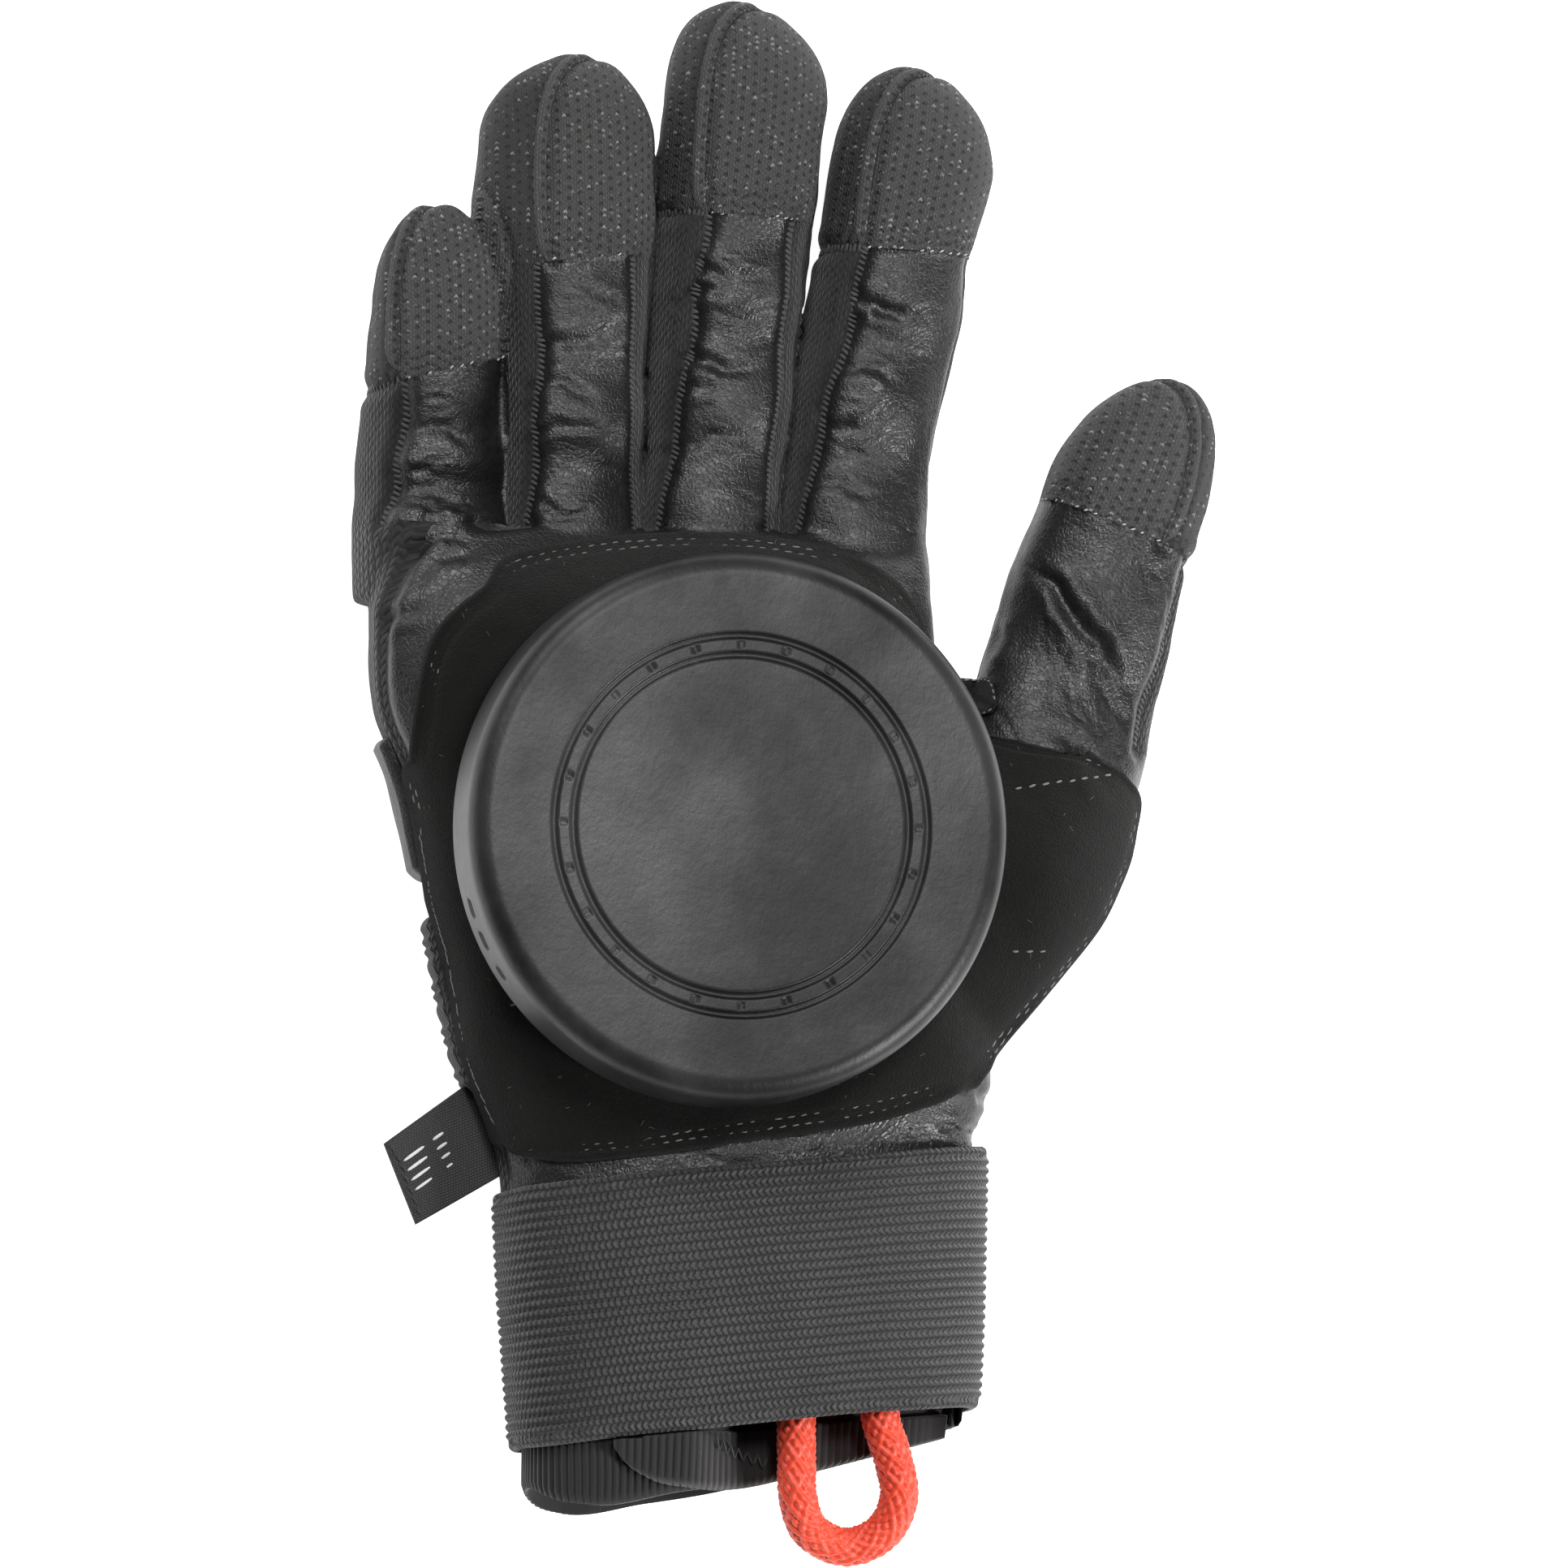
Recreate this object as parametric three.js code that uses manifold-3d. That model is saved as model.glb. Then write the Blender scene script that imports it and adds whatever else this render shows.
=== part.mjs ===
import * as THREE from "three";
import { mergeVertices } from "three/addons/utils/BufferGeometryUtils.js";
import Module from "manifold-3d";

const wasm = await Module();
wasm.setup();

// Right-hand slide glove lying on its back, palm and puck up, in millimetres.
// +X runs toward the thumb, +Y toward the fingertips, +Z up from the surface that it rests on.

// Walls and clearances
const leatherWall = 1.8;
const gap = 0.3;
const suedeThickness = 1.5;
const suedeLow = 22;
const flapThickness = 2;
const padThickness = 2.2;
const gatherThickness = 2.6;
const tabThickness = 1.5;
const thumbTabLow = 11.4;
const sideTabThickness = 2.2;

// Palm: from the wrist end, under the strap, to the finger roots
const palmLength = 126;
const palmWidth = 101;
const palmDepth = 38;
const palmWristY = -84;
const palmAxisX = -20;
const palmRounding = 2.7;
const palmSeamHeight = 18;
const palmSeamTilt = 7;
const fingerRounding = 2.3;

// Wrist tube that the cuff, the flap and the strap follow
const wristWidth = 83;
const wristDepth = 34.6;
const wristLength = 74;
const wristY = -60;
const wristAxisX = -12.6;
const wristRounding = 2.5;

// Strap
const strapWidth = 45.5;
const strapThickness = 2.3;
const strapSlant = 6;
const strapDrop = 33;

// Puck and what holds it
const puckDiameter = 97;
const puckThickness = 16;
const puckRimRadius = 4;
const puckFootRadius = 1.2;
const puckX = -20.1;
const puckY = -12.6;
const hookDiameter = 93;
const hookThickness = 2;

// Engraving on the puck's face: two plain rings
const grooveDepth = 0.6;
const grooveWidth = 1.1;
const grooveRadii = [30, 33.4];

// Pull loop
const cordDiameter = 7;
const cordSides = 8;
const cordSteps = 24;

// Mesh resolution
const fingerSides = 12;
const palmSides = 18;
const wristSides = 20;
const domeSteps = 3;
const domeTurn = 1.06;
const puckSides = 28;

// A row for each cross section of the palm, from the wrist to the finger roots.
// at: share of the length. left, right: edges from the axis, shares of the width.
// depth, base: share of the depth, and how far the section starts above the floor.
const palmRows = [
  { at: 0.0, left: -0.34, right: 0.465, depth: 0.88, base: 0.075 },
  { at: 0.1, left: -0.345, right: 0.475, depth: 0.89, base: 0.07 },
  { at: 0.15, left: -0.36, right: 0.485, depth: 0.91, base: 0.05 },
  { at: 0.21, left: -0.385, right: 0.51, depth: 1.0, base: 0.0 },
  { at: 0.29, left: -0.415, right: 0.52, depth: 1.05, base: -0.03 },
  { at: 0.4, left: -0.445, right: 0.51, depth: 1.07, base: -0.04 },
  { at: 0.52, left: -0.48, right: 0.49, depth: 1.08, base: -0.04 },
  { at: 0.64, left: -0.515, right: 0.45, depth: 1.08, base: -0.04 },
  { at: 0.76, left: -0.57, right: 0.43, depth: 1.07, base: -0.04 },
  { at: 0.88, left: -0.572, right: 0.42, depth: 1.0, base: -0.04 },
  { at: 0.95, left: -0.565, right: 0.42, depth: 0.85, base: -0.03 },
  { at: 1.0, left: -0.555, right: 0.415, depth: 0.66, base: 0.0 },
];

// The wrist tube's sections, from under the strap down to the mouth.
const wristRows = [
  { at: 0.0, left: -0.52, right: 0.51, depth: 1.02, base: 0.075 },
  { at: 0.2, left: -0.5, right: 0.505, depth: 1.02, base: 0.075 },
  { at: 0.48, left: -0.485, right: 0.5, depth: 1.01, base: 0.075 },
  { at: 0.62, left: -0.475, right: 0.495, depth: 1.0, base: 0.075 },
  { at: 0.75, left: -0.465, right: 0.485, depth: 0.98, base: 0.075 },
  { at: 0.875, left: -0.46, right: 0.475, depth: 0.93, base: 0.075 },
  { at: 1.0, left: -0.455, right: 0.46, depth: 0.85, base: 0.08 },
];

// Each digit: root on the palm's plan, lean from +Y toward +X, and a row for each section or crease.
// crease: how far the palm side sinks there, a share of the depth. The tip beyond the last row is a dome.
const fingerStartY = 30;
const fingerSplitY = 43;
const littleX = -65.4;
const digits = [
  {
    name: "little", length: 69.4, width: 24.4, depth: 22, lean: -0.6, dome: 0.25, skew: 0.02,
    capAt: 0.575, capSlant: 13, capDip: 11, seamHeight: 0.86, seamTilt: 17, seamDip: -5,
    rows: [
      { at: 0.0, side: -0.04, width: 1.08, depth: 1.1, base: -0.05, crease: 0.0 },
      { at: 0.2, side: -0.04, width: 1.08, depth: 1.12, base: -0.05, crease: 0.0 },
      { at: 0.27, side: -0.04, width: 1.05, depth: 1.08, base: -0.05, crease: 0.09 },
      { at: 0.34, side: -0.03, width: 1.07, depth: 1.06, base: -0.05, crease: 0.0 },
      { at: 0.44, side: -0.02, width: 1.02, depth: 1.04, base: -0.03, crease: 0.05 },
      { at: 0.53, side: -0.01, width: 0.98, depth: 1.02, base: -0.01, crease: 0.0 },
      { at: 0.64, side: 0.0, width: 0.96, depth: 1.0, base: 0.03, crease: 0.0 },
      { at: 0.75, side: 0.02, width: 0.91, depth: 0.96, base: 0.07, crease: 0.0 },
    ],
  },
  {
    name: "ring", length: 96.6, width: 24, depth: 25, lean: -0.3, dome: 0.185, skew: 0.03,
    capAt: 0.62, capSlant: 6, capDip: 10, seamHeight: 0.86, seamTilt: 17, seamDip: -5,
    rows: [
      { at: 0.0, side: 0.0, width: 1.0, depth: 1.04, base: -0.05, crease: 0.0 },
      { at: 0.16, side: 0.0, width: 1.0, depth: 1.06, base: -0.05, crease: 0.0 },
      { at: 0.24, side: 0.0, width: 1.0, depth: 1.04, base: -0.05, crease: 0.06 },
      { at: 0.33, side: 0.0, width: 1.03, depth: 1.03, base: -0.04, crease: 0.0 },
      { at: 0.43, side: -0.01, width: 1.05, depth: 1.02, base: -0.02, crease: 0.06 },
      { at: 0.52, side: -0.02, width: 1.1, depth: 1.0, base: 0.0, crease: 0.0 },
      { at: 0.64, side: -0.06, width: 1.25, depth: 1.0, base: 0.03, crease: 0.02 },
      { at: 0.75, side: -0.07, width: 1.31, depth: 0.98, base: 0.06, crease: 0.0 },
      { at: 0.815, side: -0.05, width: 1.28, depth: 0.94, base: 0.09, crease: 0.0 },
    ],
  },
  {
    name: "middle", length: 106.4, width: 24, depth: 25, lean: 5, dome: 0.17, skew: -0.12,
    capAt: 0.66, capSlant: 2, capDip: 10, seamHeight: 0.86, seamTilt: 17, seamDip: -5,
    rows: [
      { at: 0.0, side: 0.0, width: 1.0, depth: 1.04, base: -0.05, crease: 0.0 },
      { at: 0.16, side: 0.0, width: 1.0, depth: 1.06, base: -0.05, crease: 0.0 },
      { at: 0.24, side: 0.0, width: 1.01, depth: 1.04, base: -0.05, crease: 0.05 },
      { at: 0.33, side: 0.0, width: 1.04, depth: 1.03, base: -0.04, crease: 0.0 },
      { at: 0.44, side: 0.0, width: 1.05, depth: 1.02, base: -0.02, crease: 0.07 },
      { at: 0.52, side: 0.0, width: 1.07, depth: 1.0, base: 0.0, crease: 0.0 },
      { at: 0.6, side: 0.0, width: 1.08, depth: 1.0, base: 0.02, crease: 0.05 },
      { at: 0.7, side: -0.02, width: 1.14, depth: 0.99, base: 0.05, crease: 0.0 },
      { at: 0.83, side: -0.01, width: 1.2, depth: 0.96, base: 0.09, crease: 0.0 },
    ],
  },
  {
    name: "index", length: 96, width: 26, depth: 25, lean: 9.5, dome: 0.18, skew: -0.08,
    capAt: 0.66, capSlant: 7, capDip: 10, seamHeight: 0.86, seamTilt: 17, seamDip: -5,
    rows: [
      { at: 0.0, side: 0.0, width: 1.0, depth: 1.04, base: -0.05, crease: 0.0 },
      { at: 0.16, side: 0.0, width: 1.0, depth: 1.06, base: -0.05, crease: 0.0 },
      { at: 0.25, side: -0.02, width: 1.0, depth: 1.04, base: -0.05, crease: 0.05 },
      { at: 0.37, side: -0.03, width: 0.99, depth: 1.03, base: -0.04, crease: 0.0 },
      { at: 0.47, side: -0.01, width: 1.03, depth: 1.02, base: -0.02, crease: 0.06 },
      { at: 0.57, side: 0.0, width: 1.06, depth: 1.0, base: 0.0, crease: 0.0 },
      { at: 0.66, side: -0.02, width: 1.02, depth: 1.0, base: 0.03, crease: 0.03 },
      { at: 0.75, side: 0.0, width: 1.07, depth: 0.98, base: 0.06, crease: 0.0 },
      { at: 0.82, side: 0.01, width: 1.1, depth: 0.95, base: 0.09, crease: 0.0 },
    ],
  },
];
const thumb = {
  name: "thumb", length: 134.6, width: 30, depth: 27, lean: 23.8, dome: 0.17, skew: 0.02,
  capAt: 0.786, capSlant: 1, capDip: 9, seamHeight: 0.6, seamTilt: -22, seamDip: 0, split: 0.53,
  rows: [
    { at: 0.0, side: -0.05, width: 1.2, depth: 1.1, base: -0.04, crease: 0.0 },
    { at: 0.14, side: 0.03, width: 1.4, depth: 1.28, base: -0.04, crease: 0.0 },
    { at: 0.27, side: 0.17, width: 1.42, depth: 1.32, base: -0.04, crease: 0.0 },
    { at: 0.4, side: 0.31, width: 1.22, depth: 1.22, base: -0.03, crease: 0.0 },
    { at: 0.5, side: 0.26, width: 1.1, depth: 1.12, base: 0.0, crease: 0.0 },
    { at: 0.585, side: 0.21, width: 1.05, depth: 1.06, base: 0.03, crease: 0.07 },
    { at: 0.67, side: 0.16, width: 1.03, depth: 1.02, base: 0.06, crease: 0.0 },
    { at: 0.76, side: 0.1, width: 0.97, depth: 0.98, base: 0.1, crease: 0.02 },
    { at: 0.83, side: 0.07, width: 0.92, depth: 0.94, base: 0.14, crease: 0.0 },
  ],
};
const thumbX = 10.7;
const thumbY = -52;

// Outline of the suede patch, from its top left corner round by the thumb.
// x: from the palm's axis, a share of its width. y: from the wrist end, a share of the length.
const suedeRows = [
  { x: -0.36, y: 0.95 },
  { x: -0.18, y: 0.98 },
  { x: 0.02, y: 0.99 },
  { x: 0.17, y: 0.98 },
  { x: 0.28, y: 0.955 },
  { x: 0.355, y: 0.91 },
  { x: 0.385, y: 0.86 },
  { x: 0.42, y: 0.79 },
  { x: 0.485, y: 0.735 },
  { x: 0.58, y: 0.705 },
  { x: 0.69, y: 0.69 },
  { x: 0.755, y: 0.66 },
  { x: 0.765, y: 0.62 },
  { x: 0.73, y: 0.54 },
  { x: 0.68, y: 0.475 },
  { x: 0.61, y: 0.4 },
  { x: 0.515, y: 0.28 },
  { x: 0.47, y: 0.23 },
  { x: 0.3, y: 0.16 },
  { x: 0.05, y: 0.12 },
  { x: -0.18, y: 0.095 },
  { x: -0.29, y: 0.095 },
  { x: -0.38, y: 0.135 },
  { x: -0.44, y: 0.25 },
  { x: -0.485, y: 0.42 },
  { x: -0.525, y: 0.55 },
  { x: -0.545, y: 0.71 },
  { x: -0.52, y: 0.83 },
  { x: -0.475, y: 0.875 },
  { x: -0.4, y: 0.92 },
];

// Lower edge of the cuff flap, from the left. x: from the wrist's axis, a share of its width.
// y: below the strap's lower edge, a share of the flap's reach.
const flapReach = 12;
const flapLow = 13.3;
const flapRows = [
  { x: -0.31, y: 0.1 },
  { x: -0.285, y: 0.42 },
  { x: -0.24, y: 0.7 },
  { x: -0.14, y: 0.95 },
  { x: 0.0, y: 1.0 },
  { x: 0.13, y: 0.87 },
  { x: 0.25, y: 0.72 },
  { x: 0.38, y: 0.55 },
  { x: 0.45, y: 0.45 },
];

// Lower edge of the cuff, from the left, like the flap's rows.
const cuffReach = 13;
const cuffRows = [
  { x: -0.6, y: 0.1 },
  { x: -0.5, y: 0.3 },
  { x: -0.475, y: 0.5 },
  { x: -0.435, y: 0.78 },
  { x: -0.36, y: 0.98 },
  { x: -0.165, y: 0.94 },
  { x: -0.03, y: 0.88 },
  { x: 0.14, y: 0.72 },
  { x: 0.35, y: 0.5 },
  { x: 0.465, y: 0.27 },
  { x: 0.6, y: 0.1 },
];

// The loop's centreline, from where it is tucked under the strap and back.
const loopRoute = [
  { x: -4.5, y: -106.5, z: 31.6 },
  { x: -4.5, y: -115.5, z: 31.4 },
  { x: -4.4, y: -122, z: 31.2 },
  { x: -4.0, y: -128.5, z: 30.6 },
  { x: -1.2, y: -134, z: 28.2 },
  { x: 5.4, y: -136.6, z: 26.8 },
  { x: 11.6, y: -134, z: 28.2 },
  { x: 14.1, y: -128, z: 30.6 },
  { x: 12.8, y: -121, z: 31.2 },
  { x: 10.6, y: -114, z: 31.4 },
  { x: 10.2, y: -105, z: 31.6 },
];
const loopPressX = 4.5;
const loopPressHalf = 24;
const loopPressY = -98;
const loopPressRun = 7;
const loopPressClear = 2.7;
const loopPressFade = 0.3;
const loopPressEdge = { from: 0.72, to: 1.25 };

// Side tab: its height above the floor, and its corners in plan.
// x: from the wrist's axis, a share of its width. y: from the palm's wrist end, a share of its length.
const sideTabHeight = 16;
const tabCorners = [
  { x: -0.758, y: 0.141 },
  { x: -0.689, y: 0.029 },
  { x: -0.475, y: 0.111 },
  { x: -0.543, y: 0.243 },
];

// Pad and gathered panel at the left of the hand. top, bottom: shares of the palm's length from its
// wrist end. inner: how far from the palm's axis they start, a share of its width.
const sidePieceLow = 3;
const sidePieceHigh = suedeLow - gap;
const knucklePad = { top: 0.706, bottom: 0.512, inner: 0.297 };
const wristGather = { top: 0.46, bottom: 0.214, inner: 0.396 };
const gatherPitch = 4.4;
const gatherDepth = 1;
const gatherGroove = 0.4;

// Thumb tab. at, side: its middle on the thumb, shares of the thumb's length and width
const thumbTab = { at: 0.505, side: -0.347, width: 8.4, height: 7.4, corner: 2.6 };

// Reach of the masks past the glove, and of the inner forms past their mouths
const far = 400;
const mouthReach = 10;
const underFloor = -1;

const degrees = (value) => THREE.MathUtils.degToRad(value);

// Makes a closed three.js geometry into a solid.
function solidFrom(geometry) {
  const bare = geometry.clone();
  bare.deleteAttribute("normal");
  bare.deleteAttribute("uv");
  const merged = mergeVertices(bare, 1e-4);
  return new wasm.Manifold(new wasm.Mesh({
    numProp: 3,
    vertProperties: new Float32Array(merged.attributes.position.array),
    triVerts: new Uint32Array(merged.index.array),
  }));
}

// Keeps the largest body of a cut, without the slivers beside it.
function largest(solid) {
  return solid.decompose().reduce((best, one) => (one.volume() > best.volume() ? one : best));
}

function geometryFrom(solid) {
  const mesh = solid.getMesh();
  const geometry = new THREE.BufferGeometry();
  geometry.setAttribute("position", new THREE.BufferAttribute(mesh.vertProperties, 3));
  geometry.setIndex(new THREE.BufferAttribute(mesh.triVerts, 1));
  geometry.computeVertexNormals();
  return geometry;
}

// Closed body through rings of equally many points, with a flat start and a flat or pointed end.
function skin(rings, apex) {
  const sides = rings[0].length;
  const points = rings.flat();
  const faces = [];
  for (let row = 0; row + 1 < rings.length; row += 1) {
    for (let side = 0; side < sides; side += 1) {
      const here = row * sides + side;
      const next = row * sides + ((side + 1) % sides);
      faces.push(here, here + sides, next, next, here + sides, next + sides);
    }
  }
  const last = (rings.length - 1) * sides;
  const startMiddle = points.length;
  points.push(middleOf(rings[0]));
  const endMiddle = points.length;
  points.push(apex ?? middleOf(rings.at(-1)));
  for (let side = 0; side < sides; side += 1) {
    const next = (side + 1) % sides;
    faces.push(startMiddle, side, next);
    faces.push(endMiddle, last + next, last + side);
  }
  const geometry = new THREE.BufferGeometry();
  geometry.setAttribute("position", new THREE.Float32BufferAttribute(points.flatMap((p) => p.toArray()), 3));
  geometry.setIndex(faces);
  return solidFrom(geometry);
}

function middleOf(ring) {
  return ring.reduce((sum, p) => sum.add(p), new THREE.Vector3()).divideScalar(ring.length);
}

// One ring of a soft tube: a rounded oval, pressed flat on the floor and at the top.
function ringOf(place, oval, sides) {
  const ring = [];
  for (let side = 0; side < sides; side += 1) {
    const turn = (2 * Math.PI * (side + 0.5)) / sides;
    const across = Math.sign(Math.cos(turn)) * Math.abs(Math.cos(turn)) ** (2 / oval.rounding);
    const rise = Math.sign(Math.sin(turn)) * Math.abs(Math.sin(turn)) ** (2 / oval.rounding);
    const sink = rise > 0 ? oval.crease * rise : 0;
    const height = oval.middleZ + oval.halfDepth * rise - sink;
    const sideways = oval.middle + oval.halfWidth * across;
    const pressed = oval.press ? oval.press(sideways) : 0;
    const z = Math.max(oval.floor, Math.min(oval.top, height - (rise > 0 ? pressed : 0)));
    ring.push(place(sideways, z));
  }
  return ring;
}

// Places a section of a tube that runs along +Y from its start, turned by its lean toward +X.
function placer(tube, along) {
  const lean = degrees(tube.lean);
  return (sideways, z) => new THREE.Vector3(
    tube.x + along * Math.sin(lean) + sideways * Math.cos(lean),
    tube.y + along * Math.cos(lean) - sideways * Math.sin(lean),
    z,
  );
}

// A digit's outer form, grown outward (or, below zero, inward) by a distance.
function digitSolid(digit, grow) {
  const floor = Math.max(0, -grow);
  const ovalAt = (row, share, shift) => ({
    middle: (row.side + shift) * digit.width,
    halfWidth: Math.max(1, (row.width * digit.width * share) / 2 + grow),
    halfDepth: Math.max(1, (row.depth * digit.depth * share) / 2 + grow),
    middleZ: (row.base + row.depth / 2) * digit.depth,
    crease: row.crease * digit.depth * share,
    rounding: fingerRounding,
    floor,
    top: Infinity,
  });
  const rings = digit.rows.map((row, index) => {
    const start = index === 0 && grow < 0 ? grow : 0;
    return ringOf(placer(digit, row.at * digit.length + start), ovalAt(row, 1, 0), fingerSides);
  });
  const last = digit.rows.at(-1);
  const domeLength = digit.dome * digit.length;
  for (let step = 1; step <= domeSteps; step += 1) {
    const turn = (step / (domeSteps + 1)) * (Math.PI / 2) * domeTurn;
    const along = last.at * digit.length + (domeLength + grow) * Math.sin(turn);
    const shift = digit.skew * Math.sin(turn) ** 2;
    rings.push(ringOf(placer(digit, along), ovalAt(last, Math.cos(turn), shift), fingerSides));
  }
  const tipZ = (last.base + last.depth / 2) * digit.depth;
  const tip = placer(digit, last.at * digit.length + domeLength + grow);
  return skin(rings, tip((last.side + digit.skew) * digit.width, tipZ));
}

// The palm's outer form without the digits, with a flat top for the puck.
const palmTube = { x: palmAxisX, y: palmWristY, lean: 0 };
function palmSolid(grow, reach = 0) {
  const rings = palmRows.map((row, index) => {
    const start = index === 0 ? -reach : 0;
    const end = index === palmRows.length - 1 ? grow : 0;
    return ringOf(placer(palmTube, row.at * palmLength + start + end), {
      middle: ((row.left + row.right) / 2) * palmWidth,
      halfWidth: ((row.right - row.left) / 2) * palmWidth + grow,
      halfDepth: (row.depth * palmDepth) / 2 + grow,
      middleZ: (row.base + row.depth / 2) * palmDepth,
      crease: 0,
      rounding: palmRounding,
      floor: Math.max(0, -grow),
      top: palmDepth + grow,
    }, palmSides);
  });
  return skin(rings);
}

// The wrist's form under the strap and down to the mouth; the cord presses a hollow into its palm side.
const wristTube = { x: wristAxisX, y: wristY, lean: 180 };
function wristSolid(grow, pressed, reach = 0) {
  const rings = wristRows.map((row, index) => {
    const end = index === wristRows.length - 1 ? reach : 0;
    const along = row.at * wristLength + end;
    const y = wristY - along;
    const begun = THREE.MathUtils.smoothstep(loopPressY - y, 0, loopPressRun);
    const faded = THREE.MathUtils.smoothstep(row.at, 0.75, 1);
    const room = pressed * begun * (1 - loopPressFade * faded);
    return ringOf(placer(wristTube, along), {
      middle: -((row.left + row.right) / 2) * wristWidth,
      halfWidth: ((row.right - row.left) / 2) * wristWidth + grow,
      halfDepth: (row.depth * wristDepth) / 2 + grow,
      middleZ: (row.base + row.depth / 2) * wristDepth,
      crease: 0,
      rounding: wristRounding,
      floor: 0,
      top: Infinity,
      press: (sideways) => {
        const off = Math.abs(wristAxisX - sideways - loopPressX) / loopPressHalf;
        return room * (1 - THREE.MathUtils.smoothstep(off, loopPressEdge.from, loopPressEdge.to));
      },
    }, wristSides);
  });
  return skin(rings);
}

// Upright prism over an outline in plan.
function prism(outline, low, high) {
  const shape = new THREE.Shape(outline.map((p) => new THREE.Vector2(p.x, p.y)));
  const geometry = new THREE.ExtrudeGeometry(shape, { depth: high - low, bevelEnabled: false });
  geometry.translate(0, 0, low);
  return solidFrom(geometry);
}

// Smooth closed outline through the rows of a table.
function roundOutline(points, steps) {
  const curve = new THREE.CatmullRomCurve3(points.map((p) => new THREE.Vector3(p.x, p.y, 0)), true, "centripetal");
  return curve.getPoints(steps).slice(0, -1);
}

// Everything above a plane through a point. The plane is first tilted about +Y, then dipped about +X,
// and then turned about +Z with the digit's lean.
function above(point, tilt, dip, turn, lift) {
  const slab = new THREE.BoxGeometry(far, far, far);
  slab.translate(0, 0, far / 2 + lift);
  slab.rotateX(degrees(-dip));
  slab.rotateY(degrees(tilt));
  slab.rotateZ(degrees(-turn));
  slab.translate(point.x, point.y, point.z);
  return solidFrom(slab);
}

// Everything past an upright plane through a point, whose normal leans from +Y toward +X.
function past(point, turn, lift) {
  const slab = new THREE.BoxGeometry(far, far, far);
  slab.translate(0, far / 2 + lift, 0);
  slab.rotateZ(degrees(-turn));
  slab.translate(point.x, point.y, 0);
  return solidFrom(slab);
}

// The two sides of a cut, each half a gap clear of it.
function split(solid, mask) {
  return [solid.intersect(mask(gap / 2)), solid.subtract(mask(-gap / 2))];
}

const finishes = {
  leather: { color: 0x2c2b2d, roughness: 0.48 },
  smoothLeather: { color: 0x303032, roughness: 0.42 },
  capFabric: { color: 0x46464a, roughness: 0.85 },
  knit: { color: 0x1d1d20, roughness: 0.92 },
  suede: { color: 0x121213, roughness: 0.98 },
  puck: { color: 0x3c3c40, roughness: 0.42 },
  hook: { color: 0x101012, roughness: 0.95 },
  elastic: { color: 0x38383b, roughness: 0.85 },
  ribKnit: { color: 0x161618, roughness: 0.95 },
  cord: { color: 0xe8431f, roughness: 0.7 },
  woven: { color: 0x2f2f33, roughness: 0.8 },
};

const glove = new THREE.Group();

function add(name, solid, finish) {
  const material = new THREE.MeshStandardMaterial({ ...finishes[finish], metalness: 0 });
  const mesh = new THREE.Mesh(geometryFrom(solid), material);
  mesh.name = name;
  glove.add(mesh);
  return mesh;
}

// Finger roots side by side, each as far from the last as their widths and the gap need.
let rootX = littleX;
digits.forEach((digit, index) => {
  if (index > 0) rootX += (digits[index - 1].width + digit.width) / 2 + gap;
  digit.x = rootX - (fingerSplitY - fingerStartY) * Math.tan(degrees(digit.lean));
  digit.y = fingerStartY;
});
thumb.x = thumbX;
thumb.y = thumbY;

// The whole hand, solid, grown by a distance.
function handSolid(grow, reach) {
  const parts = [palmSolid(grow, reach), digitSolid(thumb, grow)];
  for (const digit of digits) parts.push(digitSolid(digit, grow));
  return parts.reduce((sum, one) => sum.add(one));
}

const handOuter = handSolid(0, 0);
const handInner = handSolid(-leatherWall, mouthReach);
const handShell = handOuter.subtract(handInner);

// The plan between two neighbours: each finger's mask ends on the middle line between them.
function fingerMask(index) {
  const digit = digits[index];
  const edge = (other, sign) => {
    if (!other) return [digit.x + sign * far / 4, digit.x + sign * far / 4];
    const run = far / 2;
    const here = digit.x + run * Math.tan(degrees(digit.lean));
    const there = other.x + run * Math.tan(degrees(other.lean));
    const weigh = digit.width / (digit.width + other.width);
    const low = digit.x + (other.x - digit.x) * weigh;
    return [low - sign * gap / 2, here + (there - here) * weigh - sign * gap / 2];
  };
  const [leftLow, leftHigh] = edge(digits[index - 1], -1);
  const [rightLow, rightHigh] = edge(digits[index + 1], 1);
  const bottom = fingerSplitY + gap / 2;
  const atBottom = (low, high) => low + ((high - low) * (bottom - fingerStartY)) / (far / 2);
  return prism([
    { x: atBottom(leftLow, leftHigh), y: bottom },
    { x: atBottom(rightLow, rightHigh), y: bottom },
    { x: rightHigh, y: fingerStartY + far / 2 },
    { x: leftHigh, y: fingerStartY + far / 2 },
  ], underFloor, far / 4);
}

// Cuts a digit's shell into its leather front, its textured cap, the back of its tip and its knit sleeve.
function addDigit(digit, shell) {
  const place = (along, height) => placer(digit, along * digit.length)(0, height * digit.depth);
  const across = (lift) => past(place(digit.capAt, 0), digit.lean - digit.capSlant, lift);
  const seamPoint = place(digit.capAt, digit.seamHeight);
  const seam = (lift) => above(seamPoint, digit.seamTilt, digit.seamDip, digit.lean, lift);
  const capSeam = (lift) => above(seamPoint, digit.seamTilt, digit.capDip, digit.lean, lift);
  const [upper, lower] = split(shell, across);
  const [cap, tip] = split(upper, capSeam);
  const [front, sleeve] = split(lower, seam);
  add(`${digit.name}_front`, largest(front), "leather");
  add(`${digit.name}_cap`, largest(cap), "capFabric");
  add(`${digit.name}_tip`, largest(tip), "capFabric");
  add(`${digit.name}_sleeve`, largest(sleeve), "knit");
}

digits.forEach((digit, index) => {
  const shell = digitSolid(digit, 0).subtract(handInner).intersect(fingerMask(index));
  addDigit(digit, largest(shell));
});

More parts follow.
